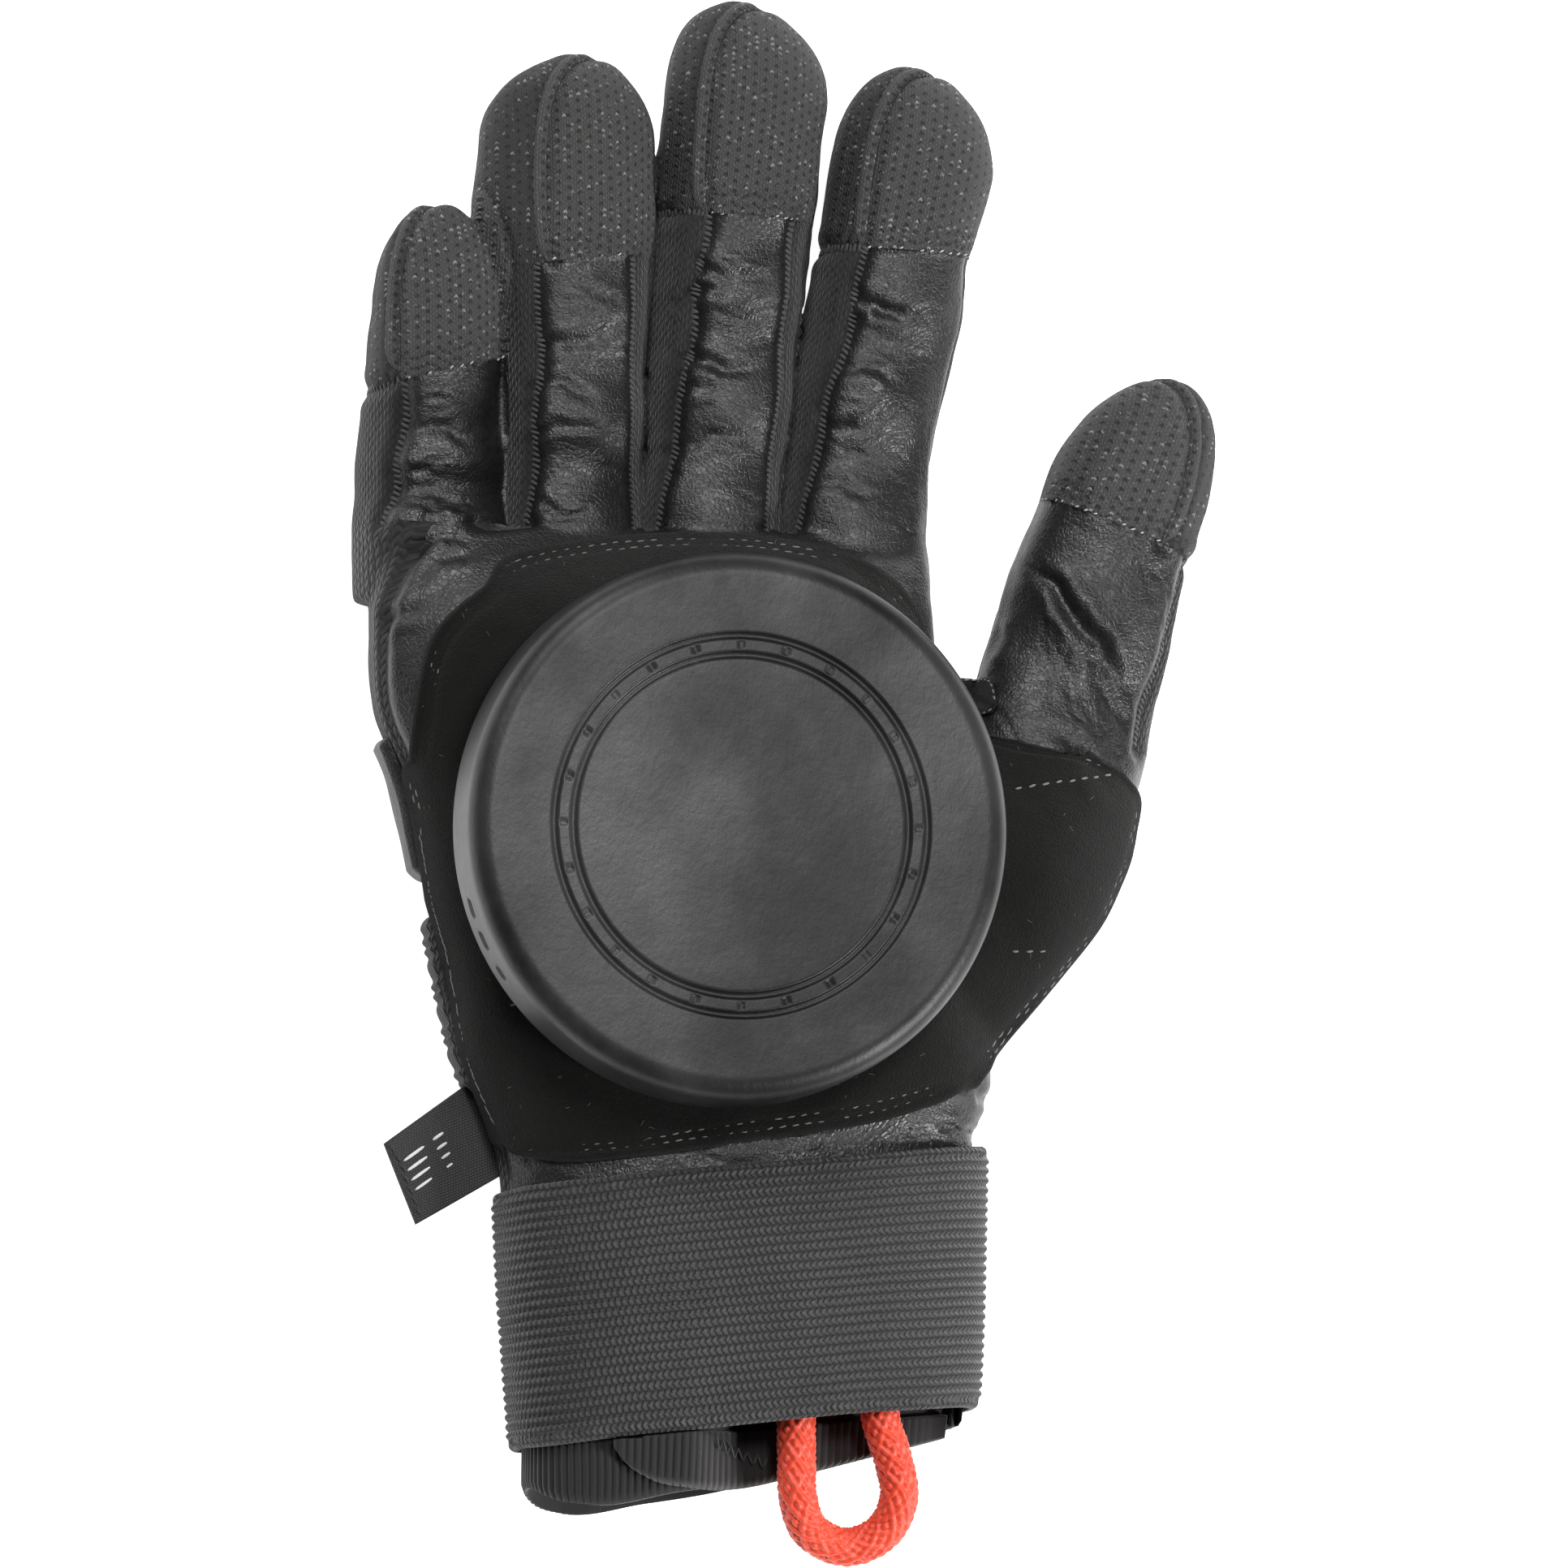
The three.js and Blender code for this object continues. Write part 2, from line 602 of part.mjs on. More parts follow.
const thumbPlace = placer(thumb, thumb.split * thumb.length)(0, 0);
const crotchX = palmAxisX + palmRows[8].right * palmWidth;
const thumbMask = (lift) => past(thumbPlace, thumb.lean, lift).intersect(past({ x: crotchX, y: 0 }, 90, lift));
addDigit(thumb, largest(digitSolid(thumb, 0).subtract(handInner).intersect(thumbMask(gap / 2))));

// Palm leather and knit back: what is left of the hand's shell, cut along the tilted side seam
const fingersAway = past({ x: 0, y: fingerSplitY }, 0, -gap / 2);
const palmShell = handShell.subtract(fingersAway).subtract(thumbMask(-gap / 2));
const sideSeam = (lift) => above({ x: palmAxisX, y: 0, z: palmSeamHeight }, palmSeamTilt, 0, 0, lift);
const [palmLeather, handBack] = split(palmShell, sideSeam);
add("palm_leather", largest(palmLeather), "leather");
add("hand_back", largest(handBack), "knit");

// A layer that lies on a form, a gap clear of it.
function layer(form, thickness, mask) {
  return form(gap + thickness).subtract(form(gap)).intersect(mask);
}
const overHand = (grow) => handSolid(grow, 0);

const suedePoints = suedeRows.map((row) => ({
  x: palmAxisX + row.x * palmWidth,
  y: palmWristY + row.y * palmLength,
}));
const strapMiddle = { x: wristAxisX, y: wristY - strapDrop };
const strapTurn = -strapSlant;
const strapTop = (lift) => past(strapMiddle, strapTurn, strapWidth / 2 + lift);
const strapFoot = (lift) => past(strapMiddle, strapTurn, -strapWidth / 2 + lift);
const suedeMask = prism(roundOutline(suedePoints, 44), suedeLow, palmDepth * 2).intersect(strapTop(gap));
const suede = largest(layer(overHand, suedeThickness, suedeMask));
add("suede_patch", suede, "suede");

// Strap: a band round the wrist, clear of the palm where it widens
const strapBand = wristSolid(gap + strapThickness, 0).subtract(wristSolid(gap, 0, mouthReach)).subtract(palmSolid(gap, 0));
add("strap", largest(strapBand.subtract(strapTop(0)).intersect(strapFoot(0))), "elastic");

// Cuff: the knit tube below the hand, open at its slanted mouth
const pressDepth = cordDiameter + flapThickness + gap + loopPressClear;
const strapFootY = (x) => strapMiddle.y - strapWidth / 2 / Math.cos(degrees(strapSlant))
  + (x - strapMiddle.x) * Math.tan(degrees(strapSlant));
const belowStrap = (rows, reach) => rows.map((row) => {
  const x = wristAxisX + row.x * wristWidth;
  return { x, y: strapFootY(x) - row.y * reach };
});
const cuffLower = belowStrap(cuffRows, cuffReach);
const cuffUpper = [cuffLower.at(-1), cuffLower[0]].map((p) => ({ x: p.x, y: palmWristY - gap }));
const cuffShell = wristSolid(0, pressDepth).subtract(wristSolid(-leatherWall, pressDepth, mouthReach));
const cuffMask = prism([...cuffLower, ...cuffUpper], underFloor, palmDepth * 2);
add("cuff", largest(cuffShell.intersect(cuffMask)), "ribKnit");

// Cuff flap: lies on the cuff below the strap
const flapLower = belowStrap(flapRows, flapReach);
const flapUpper = [flapLower.at(-1), flapLower[0]].map((p) => ({ x: p.x, y: strapFootY(p.x) - gap * 2 }));
const flapOver = wristSolid(gap + flapThickness, pressDepth).subtract(wristSolid(gap, pressDepth));
const flapMask = prism([...flapLower, ...flapUpper], flapLow, palmDepth * 2);
add("cuff_flap", largest(flapOver.intersect(flapMask)), "ribKnit");

// Puck: turned about its axis, with a filleted rim and two plain grooves in its face
function arcPoints(x, y, radius, from, to, steps) {
  return Array.from({ length: steps + 1 }, (unused, step) => {
    const turn = degrees(from + ((to - from) * step) / steps);
    return new THREE.Vector2(x + radius * Math.cos(turn), y + radius * Math.sin(turn));
  });
}
const puckRadius = puckDiameter / 2;
const puckProfile = [
  new THREE.Vector2(0, 0),
  ...arcPoints(puckRadius - puckFootRadius, puckFootRadius, puckFootRadius, -90, 0, 1),
  ...arcPoints(puckRadius - puckRimRadius, puckThickness - puckRimRadius, puckRimRadius, 0, 90, 3),
];
for (const radius of [...grooveRadii].reverse()) {
  puckProfile.push(new THREE.Vector2(radius + grooveWidth / 2, puckThickness));
  puckProfile.push(new THREE.Vector2(radius, puckThickness - grooveDepth));
  puckProfile.push(new THREE.Vector2(radius - grooveWidth / 2, puckThickness));
}
puckProfile.push(new THREE.Vector2(0, puckThickness));
function turned(profile, steps, z) {
  const geometry = new THREE.LatheGeometry(profile, steps);
  geometry.rotateX(Math.PI / 2);
  geometry.translate(puckX, puckY, z);
  return solidFrom(geometry);
}
const hookZ = palmDepth + gap + suedeThickness + gap;
const hookProfile = [
  new THREE.Vector2(0, 0),
  new THREE.Vector2(hookDiameter / 2, 0),
  new THREE.Vector2(hookDiameter / 2, hookThickness),
  new THREE.Vector2(0, hookThickness),
];
add("puck_hook_disc", turned(hookProfile, puckSides, hookZ), "hook");
add("puck", turned(puckProfile, puckSides, hookZ + hookThickness + gap), "puck");

// Pull loop: round cord along its route
const loopCurve = new THREE.CatmullRomCurve3(loopRoute.map((p) => new THREE.Vector3(p.x, p.y, p.z)));
const cordSection = new THREE.Shape(arcPoints(0, 0, cordDiameter / 2, 0, 360 - 360 / cordSides, cordSides - 1));
const cordGeometry = new THREE.ExtrudeGeometry(cordSection, {
  steps: cordSteps,
  extrudePath: loopCurve,
  bevelEnabled: false,
});
add("pull_loop", solidFrom(cordGeometry), "cord");

// Side tab: a folded woven tab whose inner edge is held at the side of the wrist
const tabOutline = tabCorners.map((corner) => ({
  x: wristAxisX + corner.x * wristWidth,
  y: palmWristY + corner.y * palmLength,
}));
const tabPlate = prism(tabOutline, sideTabHeight, sideTabHeight + sideTabThickness);
const tabClear = overHand(gap * 2 + suedeThickness).add(wristSolid(gap * 2 + strapThickness, 0));
const gatherFoot = palmWristY + wristGather.bottom * palmLength;
const gatherSide = past({ x: 0, y: gatherFoot }, 0, -gap);
add("side_tab", largest(tabPlate.subtract(tabClear).subtract(gatherSide)), "woven");

// Pad and gathered panel on the left side of the knit back
function sideMask(piece) {
  const leftX = palmAxisX - palmWidth;
  const innerX = palmAxisX - piece.inner * palmWidth;
  const bottomY = palmWristY + piece.bottom * palmLength;
  const topY = palmWristY + piece.top * palmLength;
  return prism([
    { x: leftX, y: bottomY },
    { x: innerX, y: bottomY },
    { x: innerX, y: topY },
    { x: leftX, y: topY },
  ], sidePieceLow, sidePieceHigh);
}
const overPalm = (grow) => palmSolid(grow, 0);
add("knuckle_pad", largest(layer(overPalm, padThickness, sideMask(knucklePad))), "smoothLeather");
let gather = layer(overPalm, gatherThickness, sideMask(wristGather));
const gatherCore = palmSolid(gap + gatherThickness - gatherDepth);
const gatherTop = palmWristY + wristGather.top * palmLength;
for (let y = gatherFoot + gatherPitch / 2; y < gatherTop; y += gatherPitch) {
  const groove = new THREE.BoxGeometry(palmWidth, gatherPitch * gatherGroove, palmDepth);
  groove.translate(palmAxisX - palmWidth / 2 - gatherDepth, y, palmDepth / 2);
  gather = gather.subtract(solidFrom(groove).subtract(gatherCore));
}
add("wrist_gather", largest(gather), "knit");

// Thumb tab: a small rounded tab on the web between the palm and the thumb
const thumbTabMiddle = placer(thumb, thumbTab.at * thumb.length)(thumbTab.side * thumb.width, 0);
const halfAcross = thumbTab.width / 2 - thumbTab.corner;
const halfUp = thumbTab.height / 2 - thumbTab.corner;
const thumbTabCorners = [
  { x: halfAcross, y: halfUp },
  { x: -halfAcross, y: halfUp },
  { x: -halfAcross, y: -halfUp },
  { x: halfAcross, y: -halfUp },
];
const thumbTabOutline = thumbTabCorners.flatMap((corner, index) => arcPoints(
  thumbTabMiddle.x + corner.x,
  thumbTabMiddle.y + corner.y,
  thumbTab.corner,
  index * 90,
  (index + 1) * 90,
  3,
));
const thumbTabMask = prism(thumbTabOutline, thumbTabLow, palmDepth * 2);
add("thumb_tab", largest(layer(overHand, tabThickness, thumbTabMask)), "suede");

// The origin is under the middle of the glove without its loop, on the surface that it rests on.
const extent = new THREE.Box3();
for (const mesh of glove.children) {
  if (mesh.name !== "pull_loop") extent.expandByObject(mesh);
}
const middle = extent.getCenter(new THREE.Vector3());
glove.position.set(-middle.x, -middle.y, -extent.min.z);

export default glove;
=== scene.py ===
import math

import bmesh
import bpy
import numpy as np
from mathutils import Matrix, Vector, noise
from mathutils.bvhtree import BVHTree
from mathutils.kdtree import KDTree


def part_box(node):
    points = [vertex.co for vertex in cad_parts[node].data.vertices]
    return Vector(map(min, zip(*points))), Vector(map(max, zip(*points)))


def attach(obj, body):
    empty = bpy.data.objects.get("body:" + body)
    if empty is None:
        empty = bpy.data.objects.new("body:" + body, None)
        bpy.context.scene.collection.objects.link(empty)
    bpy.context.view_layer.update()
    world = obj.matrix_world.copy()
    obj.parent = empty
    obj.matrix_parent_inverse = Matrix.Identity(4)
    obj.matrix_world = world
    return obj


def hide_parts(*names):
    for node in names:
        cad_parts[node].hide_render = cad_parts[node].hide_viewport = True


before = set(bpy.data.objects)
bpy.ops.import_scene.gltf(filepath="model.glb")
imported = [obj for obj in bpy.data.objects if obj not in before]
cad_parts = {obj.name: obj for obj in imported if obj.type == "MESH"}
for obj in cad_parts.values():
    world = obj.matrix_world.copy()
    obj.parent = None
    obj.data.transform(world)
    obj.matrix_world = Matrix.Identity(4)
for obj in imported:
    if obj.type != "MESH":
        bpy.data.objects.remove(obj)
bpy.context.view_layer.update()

# Working space: millimetres with the photo's middle at the origin, fingers toward +Y, thumb toward +X.
puckSpot = (-20.1, -12.6)  # the puck's axis in that space; the frame says where it really stands
puckLow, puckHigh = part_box("puck")
shift = np.array([(puckLow[k] + puckHigh[k]) * 500 - puckSpot[k] for k in range(2)] + [0.0])
upright = np.array([0, 0, 1.0])


def toFrame(points):
    return (np.asarray(points, dtype=float) + shift) / 1000


def heightsOf(node):  # where a CAD piece starts and ends above the floor, in mm
    low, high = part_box(node)
    return low[2] * 1000, high[2] * 1000


def say(stage):
    print("stage:", stage)


# Meshes and objects

def newObject(name, points, faces, uvs=None, smooth=True):
    mesh = bpy.data.meshes.new(name)
    mesh.from_pydata(toFrame(points).tolist(), [], [tuple(int(i) for i in face) for face in faces])
    if uvs is not None:
        layer = mesh.uv_layers.new(name="cloth")
        loops = np.empty(len(mesh.loops), dtype=np.int32)
        mesh.loops.foreach_get("vertex_index", loops)
        layer.data.foreach_set("uv", np.asarray(uvs, dtype=float)[loops].ravel())
    mesh.polygons.foreach_set("use_smooth", [smooth] * len(mesh.polygons))
    mesh.update()
    obj = bpy.data.objects.new(name, mesh)
    bpy.context.collection.objects.link(obj)
    return obj


def dress(obj, material, slotName, *nodes):
    obj.data.materials.clear()
    obj.data.materials.append(material)
    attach(obj, "root")
    if nodes:
        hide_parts(*nodes)
    return obj


def gridFaces(rows, columns, closed=True):
    faces = []
    for row in range(rows - 1):
        here, above = row * columns, (row + 1) * columns
        for column in range(columns if closed else columns - 1):
            after = (column + 1) % columns
            faces.append((here + column, here + after, above + after, above + column))
    return faces


def endFaces(rows, columns):  # one flat face at each end of a closed grid
    return [tuple(range(columns))[::-1], tuple((rows - 1) * columns + i for i in range(columns))]


def raised(faces, first):  # the same faces for points that start at another number
    return [tuple(i + first for i in face) for face in faces]


def unit(vectors):
    return vectors / np.maximum(np.linalg.norm(vectors, axis=-1, keepdims=True), 1e-9)


def allRound(count):
    return 2 * math.pi * np.arange(count) / count


def through(places, values, at):  # smooth curve through the rows of a table
    places, values = np.asarray(places, float), np.asarray(values, float)
    slope = np.gradient(values, places)
    i = np.clip(np.searchsorted(places, at) - 1, 0, len(places) - 2)
    run = places[i + 1] - places[i]
    t = np.clip((at - places[i]) / run, 0, 1)
    rise = t * t * (3 - 2 * t)
    bend = t * (1 - t) ** 2 * slope[i] - t * t * (1 - t) * slope[i + 1]
    return values[i] + (values[i + 1] - values[i]) * rise + run * bend


def fade(value, low, high):
    t = np.clip((np.asarray(value, float) - low) / (high - low), 0, 1)
    return t * t * (3 - 2 * t)


def splinePoints(points, steps, closed=False):  # even points on a smooth curve through given ones
    points = np.asarray(points, float)
    count = len(points)
    if closed:
        points = np.vstack([points[-1], points, points[0], points[1]])
    else:
        points = np.vstack([2 * points[0] - points[1], points, 2 * points[-1] - points[-2]])
    spans = count if closed else count - 1
    fine = []
    for i in range(spans):
        a, b, c, d = points[i:i + 4]
        for t in np.linspace(0, 1, 24, endpoint=False):
            fine.append(0.5 * ((2 * b) + (c - a) * t + (2 * a - 5 * b + 4 * c - d) * t ** 2
                               + (3 * b - a - 3 * c + d) * t ** 3))
    fine.append(fine[0] if closed else points[-2])
    return evenly(np.array(fine), steps)


def runsOf(line):  # how far along the line each of its points lies
    return np.concatenate([[0], np.cumsum(np.linalg.norm(np.diff(line, axis=0), axis=1))])


def evenly(line, steps):
    line = np.asarray(line, float)
    runs = runsOf(line)
    at = np.linspace(0, runs[-1], steps)
    return np.stack([np.interp(at, runs, line[:, k]) for k in range(line.shape[1])], axis=1)


def lengthOf(line):
    return float(np.linalg.norm(np.diff(np.asarray(line), axis=0), axis=1).sum())


def tubeAlong(line, profile, columns):  # profile(run, turn) gives sideways and upward offsets
    line = np.asarray(line, float)
    tangents = unit(np.gradient(line, axis=0))
    sides = unit(np.cross(tangents, upright))
    ups = np.cross(sides, tangents)
    runs = runsOf(line)
    girth = 22
    points, uvs = [], []
    for step in range(len(line)):
        for turn in allRound(columns):
            sideways, upward = profile(runs[step], turn)
            points.append(line[step] + sides[step] * sideways + ups[step] * upward)
            uvs.append((turn / (2 * math.pi) * girth, runs[step]))
    return points, gridFaces(len(line), columns), uvs


# Camera: the photograph's angle, from far off with a long lens
cameraSettings = {
    "back": (-0.208, -0.087, 0.974),  # from the glove toward the camera
    "distance": 12.0,
    "frameHeight": 0.276,  # metres that the square picture takes in at the glove
    "sensor": 36,
    "reach": 30,
}


def makeCamera(settings):
    back = Vector(settings["back"]).normalized()
    right = Vector((back.z, 0, -back.x)).normalized()
    up = back.cross(right)
    data = bpy.data.cameras.new("camera")
    data.sensor_width = settings["sensor"]
    data.lens = data.sensor_width * settings["distance"] / settings["frameHeight"]
    data.clip_end = settings["reach"]
    camera = bpy.data.objects.new("camera", data)
    bpy.context.collection.objects.link(camera)
    target = Vector(toFrame((0, 0, 0)))
    turn = Matrix((right, up, back)).transposed().to_4x4()
    camera.matrix_world = Matrix.Translation(target + back * settings["distance"]) @ turn
    bpy.context.scene.camera = camera


makeCamera(cameraSettings)
say("camera")


# Node groups that more than one material uses

def newGroup(name, inputs, outputs):
    group = bpy.data.node_groups.new(name, "ShaderNodeTree")
    for label, kind, value in inputs:
        socket = group.interface.new_socket(name=label, in_out="INPUT", socket_type=kind)
        if value is not None:
            socket.default_value = value
    for label, kind in outputs:
        group.interface.new_socket(name=label, in_out="OUTPUT", socket_type=kind)
    start = group.nodes.new("NodeGroupInput")
    end = group.nodes.new("NodeGroupOutput")
    return group, start, end


class Wiring:  # adds and joins the nodes of one tree
    def __init__(self, tree):
        self.tree = tree

    def node(self, kind, **settings):
        made = self.tree.nodes.new(kind)
        for key, value in settings.items():
            setattr(made, key, value)
        return made

    def join(self, source, target):
        self.tree.links.new(source, target)

    def feed(self, socket, value):
        if hasattr(value, "is_output"):
            self.join(value, socket)
        else:
            socket.default_value = value

    def math(self, operation, first, second=None, third=None):
        made = self.node("ShaderNodeMath", operation=operation)
        for socket, value in zip(made.inputs, (first, second, third)):
            if value is not None:
                self.feed(socket, value)
        return made.outputs[0]

    def noise(self, vector, scale, detail=3.0, rough=0.5):
        made = self.node("ShaderNodeTexNoise")
        self.join(vector, made.inputs["Vector"])
        self.feed(made.inputs["Scale"], scale)
        self.feed(made.inputs["Detail"], detail)
        self.feed(made.inputs["Roughness"], rough)
        return made.outputs["Fac"]

    def cells(self, vector, scale, feature="F1", spread=1.0):
        made = self.node("ShaderNodeTexVoronoi", feature=feature)
        self.join(vector, made.inputs["Vector"])
        self.feed(made.inputs["Scale"], scale)
        self.feed(made.inputs["Randomness"], spread)
        return made

    def span(self, value, low, high, toLow=0.0, toHigh=1.0):
        made = self.node("ShaderNodeMapRange", interpolation_type="SMOOTHSTEP")
        for socket, given in zip(made.inputs, (value, low, high, toLow, toHigh)):
            self.feed(socket, given)
        return made.outputs[0]

    def mix(self, factor, first, second):
        made = self.node("ShaderNodeMix", data_type="RGBA")
        self.feed(made.inputs[0], factor)
        self.feed(made.inputs[6], first)
        self.feed(made.inputs[7], second)
        return made.outputs[2]

    def stretch(self, vector, scale):
        made = self.node("ShaderNodeMapping")
        self.join(vector, made.inputs["Vector"])
        made.inputs["Scale"].default_value = scale
        return made.outputs[0]

    def finish(self, end, **values):
        for label, value in values.items():
            self.join(value, end.inputs[label])


number, colour, vector = "NodeSocketFloat", "NodeSocketColor", "NodeSocketVector"


def makeGrainGroup():  # leather: pebbles, fine creases and their height
    group, start, end = newGroup(
        "leather grain",
        [("Vector", vector, None), ("Pebbles per metre", number, 1100.0), ("Creases", number, 0.5)],
        [("Height", number), ("Shine", number), ("Tone", number)],
    )
    w = Wiring(group)
    place = start.outputs["Vector"]
    pebbles = w.cells(place, start.outputs["Pebbles per metre"], "DISTANCE_TO_EDGE").outputs["Distance"]
    pebble = w.span(pebbles, 0.0, 0.25)
    warp = w.noise(place, 90.0, 4.0)
    creaseField = w.noise(w.stretch(place, (1.0, 2.2, 1.0)), 260.0, 5.0, 0.6)
    crease = w.math("ABSOLUTE", w.math("SUBTRACT", creaseField, 0.5))
    line = w.span(crease, 0.0, 0.05)
    creased = w.math("MULTIPLY", w.math("SUBTRACT", 1.0, line), start.outputs["Creases"])
    height = w.math("SUBTRACT", w.math("MULTIPLY", pebble, 0.35), creased)
    shine = w.math("SUBTRACT", w.span(warp, 0.3, 0.75), w.math("MULTIPLY", creased, 0.4))
    # Tone: random tone that falls to dark along the fine crease lines, painted shade in the creases
    w.finish(end, Height=w.math("MULTIPLY_ADD", warp, 0.5, height), Shine=shine,
             Tone=w.math("MULTIPLY", w.noise(place, 40.0, 3.0), line))
    return group


def makeLoopGroup():  # knit: rows of small loops on the cloth's own grid
    group, start, end = newGroup(
        "knit loops",
        [("Vector", vector, None), ("Columns per mm", number, 0.9), ("Rows per mm", number, 0.9),
         ("Lean", number, 0.35)],
        [("Height", number), ("Fleck", number), ("Tone", number)],
    )
    w = Wiring(group)
    parts = w.node("ShaderNodeSeparateXYZ")
    w.join(start.outputs["Vector"], parts.inputs[0])
    wobble = w.noise(start.outputs["Vector"], 0.7, 2.0)
    across, along = (w.math("MULTIPLY", w.math("MULTIPLY_ADD", wobble, amount, parts.outputs[k]),
                            start.outputs[label])
                     for k, amount, label in ((0, 0.5, "Columns per mm"), (1, 0.4, "Rows per mm")))
    column = w.math("FLOOR", across)
    side = w.math("SUBTRACT", w.math("FRACT", across), 0.5)
    slanted = w.math("MULTIPLY_ADD", w.math("ABSOLUTE", side), w.math("MULTIPLY", start.outputs["Lean"], 4.0),
                     w.math("MULTIPLY_ADD", column, 0.5, along))
    row = w.math("FLOOR", slanted)
    rise = w.math("SUBTRACT", w.math("FRACT", slanted), 0.5)
    roundAcross = w.math("COSINE", w.math("MULTIPLY", side, math.pi))
    roundAlong = w.math("COSINE", w.math("MULTIPLY", rise, math.pi))
    loop = w.math("MULTIPLY", w.math("POWER", roundAcross, 0.6), w.math("POWER", roundAlong, 0.8))
    cell = w.node("ShaderNodeCombineXYZ")
    w.join(column, cell.inputs[0])
    w.join(row, cell.inputs[1])
    lot = w.node("ShaderNodeTexWhiteNoise", noise_dimensions="3D")
    w.join(cell.outputs[0], lot.inputs["Vector"])
    fleck = w.math("MULTIPLY", w.span(loop, 0.72, 0.93), w.span(lot.outputs["Value"], 0.45, 0.9))
    w.finish(end, Height=loop, Fleck=fleck, Tone=lot.outputs["Value"])
    return group


def makeFuzzGroup():  # short nap: clumps and loose fibres
    group, start, end = newGroup(
        "fuzz",
        [("Vector", vector, None), ("Fibres per metre", number, 2600.0)],
        [("Height", number), ("Tone", number), ("Lint", number)],
    )
    w = Wiring(group)
    place = start.outputs["Vector"]
    fibres = w.noise(place, start.outputs["Fibres per metre"], 4.0, 0.7)
    clumps = w.noise(place, 220.0, 4.0, 0.6)
    brushed = w.noise(w.stretch(place, (1.0, 0.25, 1.0)), 60.0, 2.0)
    specks = w.cells(w.stretch(place, (1.0, 0.45, 1.0)), 330.0).outputs["Distance"]
    w.finish(end, Height=w.math("MULTIPLY_ADD", clumps, 0.6, fibres),
             Tone=w.math("MULTIPLY_ADD", brushed, 0.6, w.math("MULTIPLY", clumps, 0.4)),
             Lint=w.math("MULTIPLY", w.span(specks, 0.1, 0.03), w.span(w.noise(place, 120.0), 0.52, 0.7)))
    return group


def makeWearGroup():  # edges that rubbing has brightened
    group, start, end = newGroup(
        "edge wear",
        [("Reach", number, 0.5), ("Patches per metre", number, 150.0), ("Vector", vector, None)],
        [("Mask", number)],
    )
    w = Wiring(group)
    shape = w.node("ShaderNodeNewGeometry")
    high = w.math("SUBTRACT", shape.outputs["Pointiness"], 0.5)
    sharp = w.span(w.math("MULTIPLY", high, 10.0), 0.05, start.outputs["Reach"])
    worn = w.span(w.noise(start.outputs["Vector"], start.outputs["Patches per metre"]), 0.35, 0.7)
    w.finish(end, Mask=w.math("MULTIPLY", sharp, worn))
    return group


grainGroup, loopGroup, fuzzGroup, wearGroup = (
    make() for make in (makeGrainGroup, makeLoopGroup, makeFuzzGroup, makeWearGroup))


def paint(shade):  # a grey from one number, or a colour from three
    return (shade, shade, shade, 1) if isinstance(shade, float) else (*shade, 1)


class Finish(Wiring):  # one material: its shader, its coordinates and what feeds them
    def __init__(self, name, **values):
        self.material = bpy.data.materials.new(name)
        self.material.use_nodes = True
        super().__init__(self.material.node_tree)
        self.shader = self.tree.nodes["Principled BSDF"]
        for label, value in values.items():
            self.shader.inputs[label.replace("_", " ")].default_value = value
        self.place = self.node("ShaderNodeTexCoord").outputs["Object"]
        self.cloth = self.node("ShaderNodeUVMap", uv_map="cloth").outputs["UV"]

    def use(self, group, **values):
        made = self.node("ShaderNodeGroup", node_tree=group)
        for label, value in values.items():
            self.feed(made.inputs[label.replace("_", " ")], value)
        return made.outputs

    def colour(self, factor, dark, light):  # dark may be a colour that another mix has made
        first = dark if hasattr(dark, "is_output") else paint(dark)
        self.join(self.mix(factor, first, paint(light)), self.shader.inputs["Base Color"])

    def bump(self, *layers):  # layers: (height, distance in metres, strength)
        normal = None
        for height, distance, strength in layers:
            made = self.node("ShaderNodeBump")
            made.inputs["Distance"].default_value = distance
            made.inputs["Strength"].default_value = strength
            self.join(height, made.inputs["Height"])
            if normal is not None:
                self.join(normal, made.inputs["Normal"])
            normal = made.outputs[0]
        self.join(normal, self.shader.inputs["Normal"])


# Materials

def leatherFinish(name, creases, roughness, dark, light):
    finish = Finish(name, Roughness=roughness, Specular_IOR_Level=0.5)
    grain = finish.use(grainGroup, Vector=finish.place, Creases=creases)
    wear = finish.use(wearGroup, Vector=finish.place, Reach=0.9)
    # colour: rubbed-edge wear and random tone, darkened along the grain's fine creases as painted shade
    toneWithPaintedShade = finish.math("MULTIPLY_ADD", wear["Mask"], 0.35, finish.math("MULTIPLY", grain["Tone"], 0.6))
    finish.colour(toneWithPaintedShade, dark, light)
    finish.join(finish.span(grain["Shine"], 0.0, 1.0, roughness - 0.04, roughness + 0.06),
                finish.shader.inputs["Roughness"])
    finish.bump((grain["Height"], 0.00022, 0.55))
    return finish.material


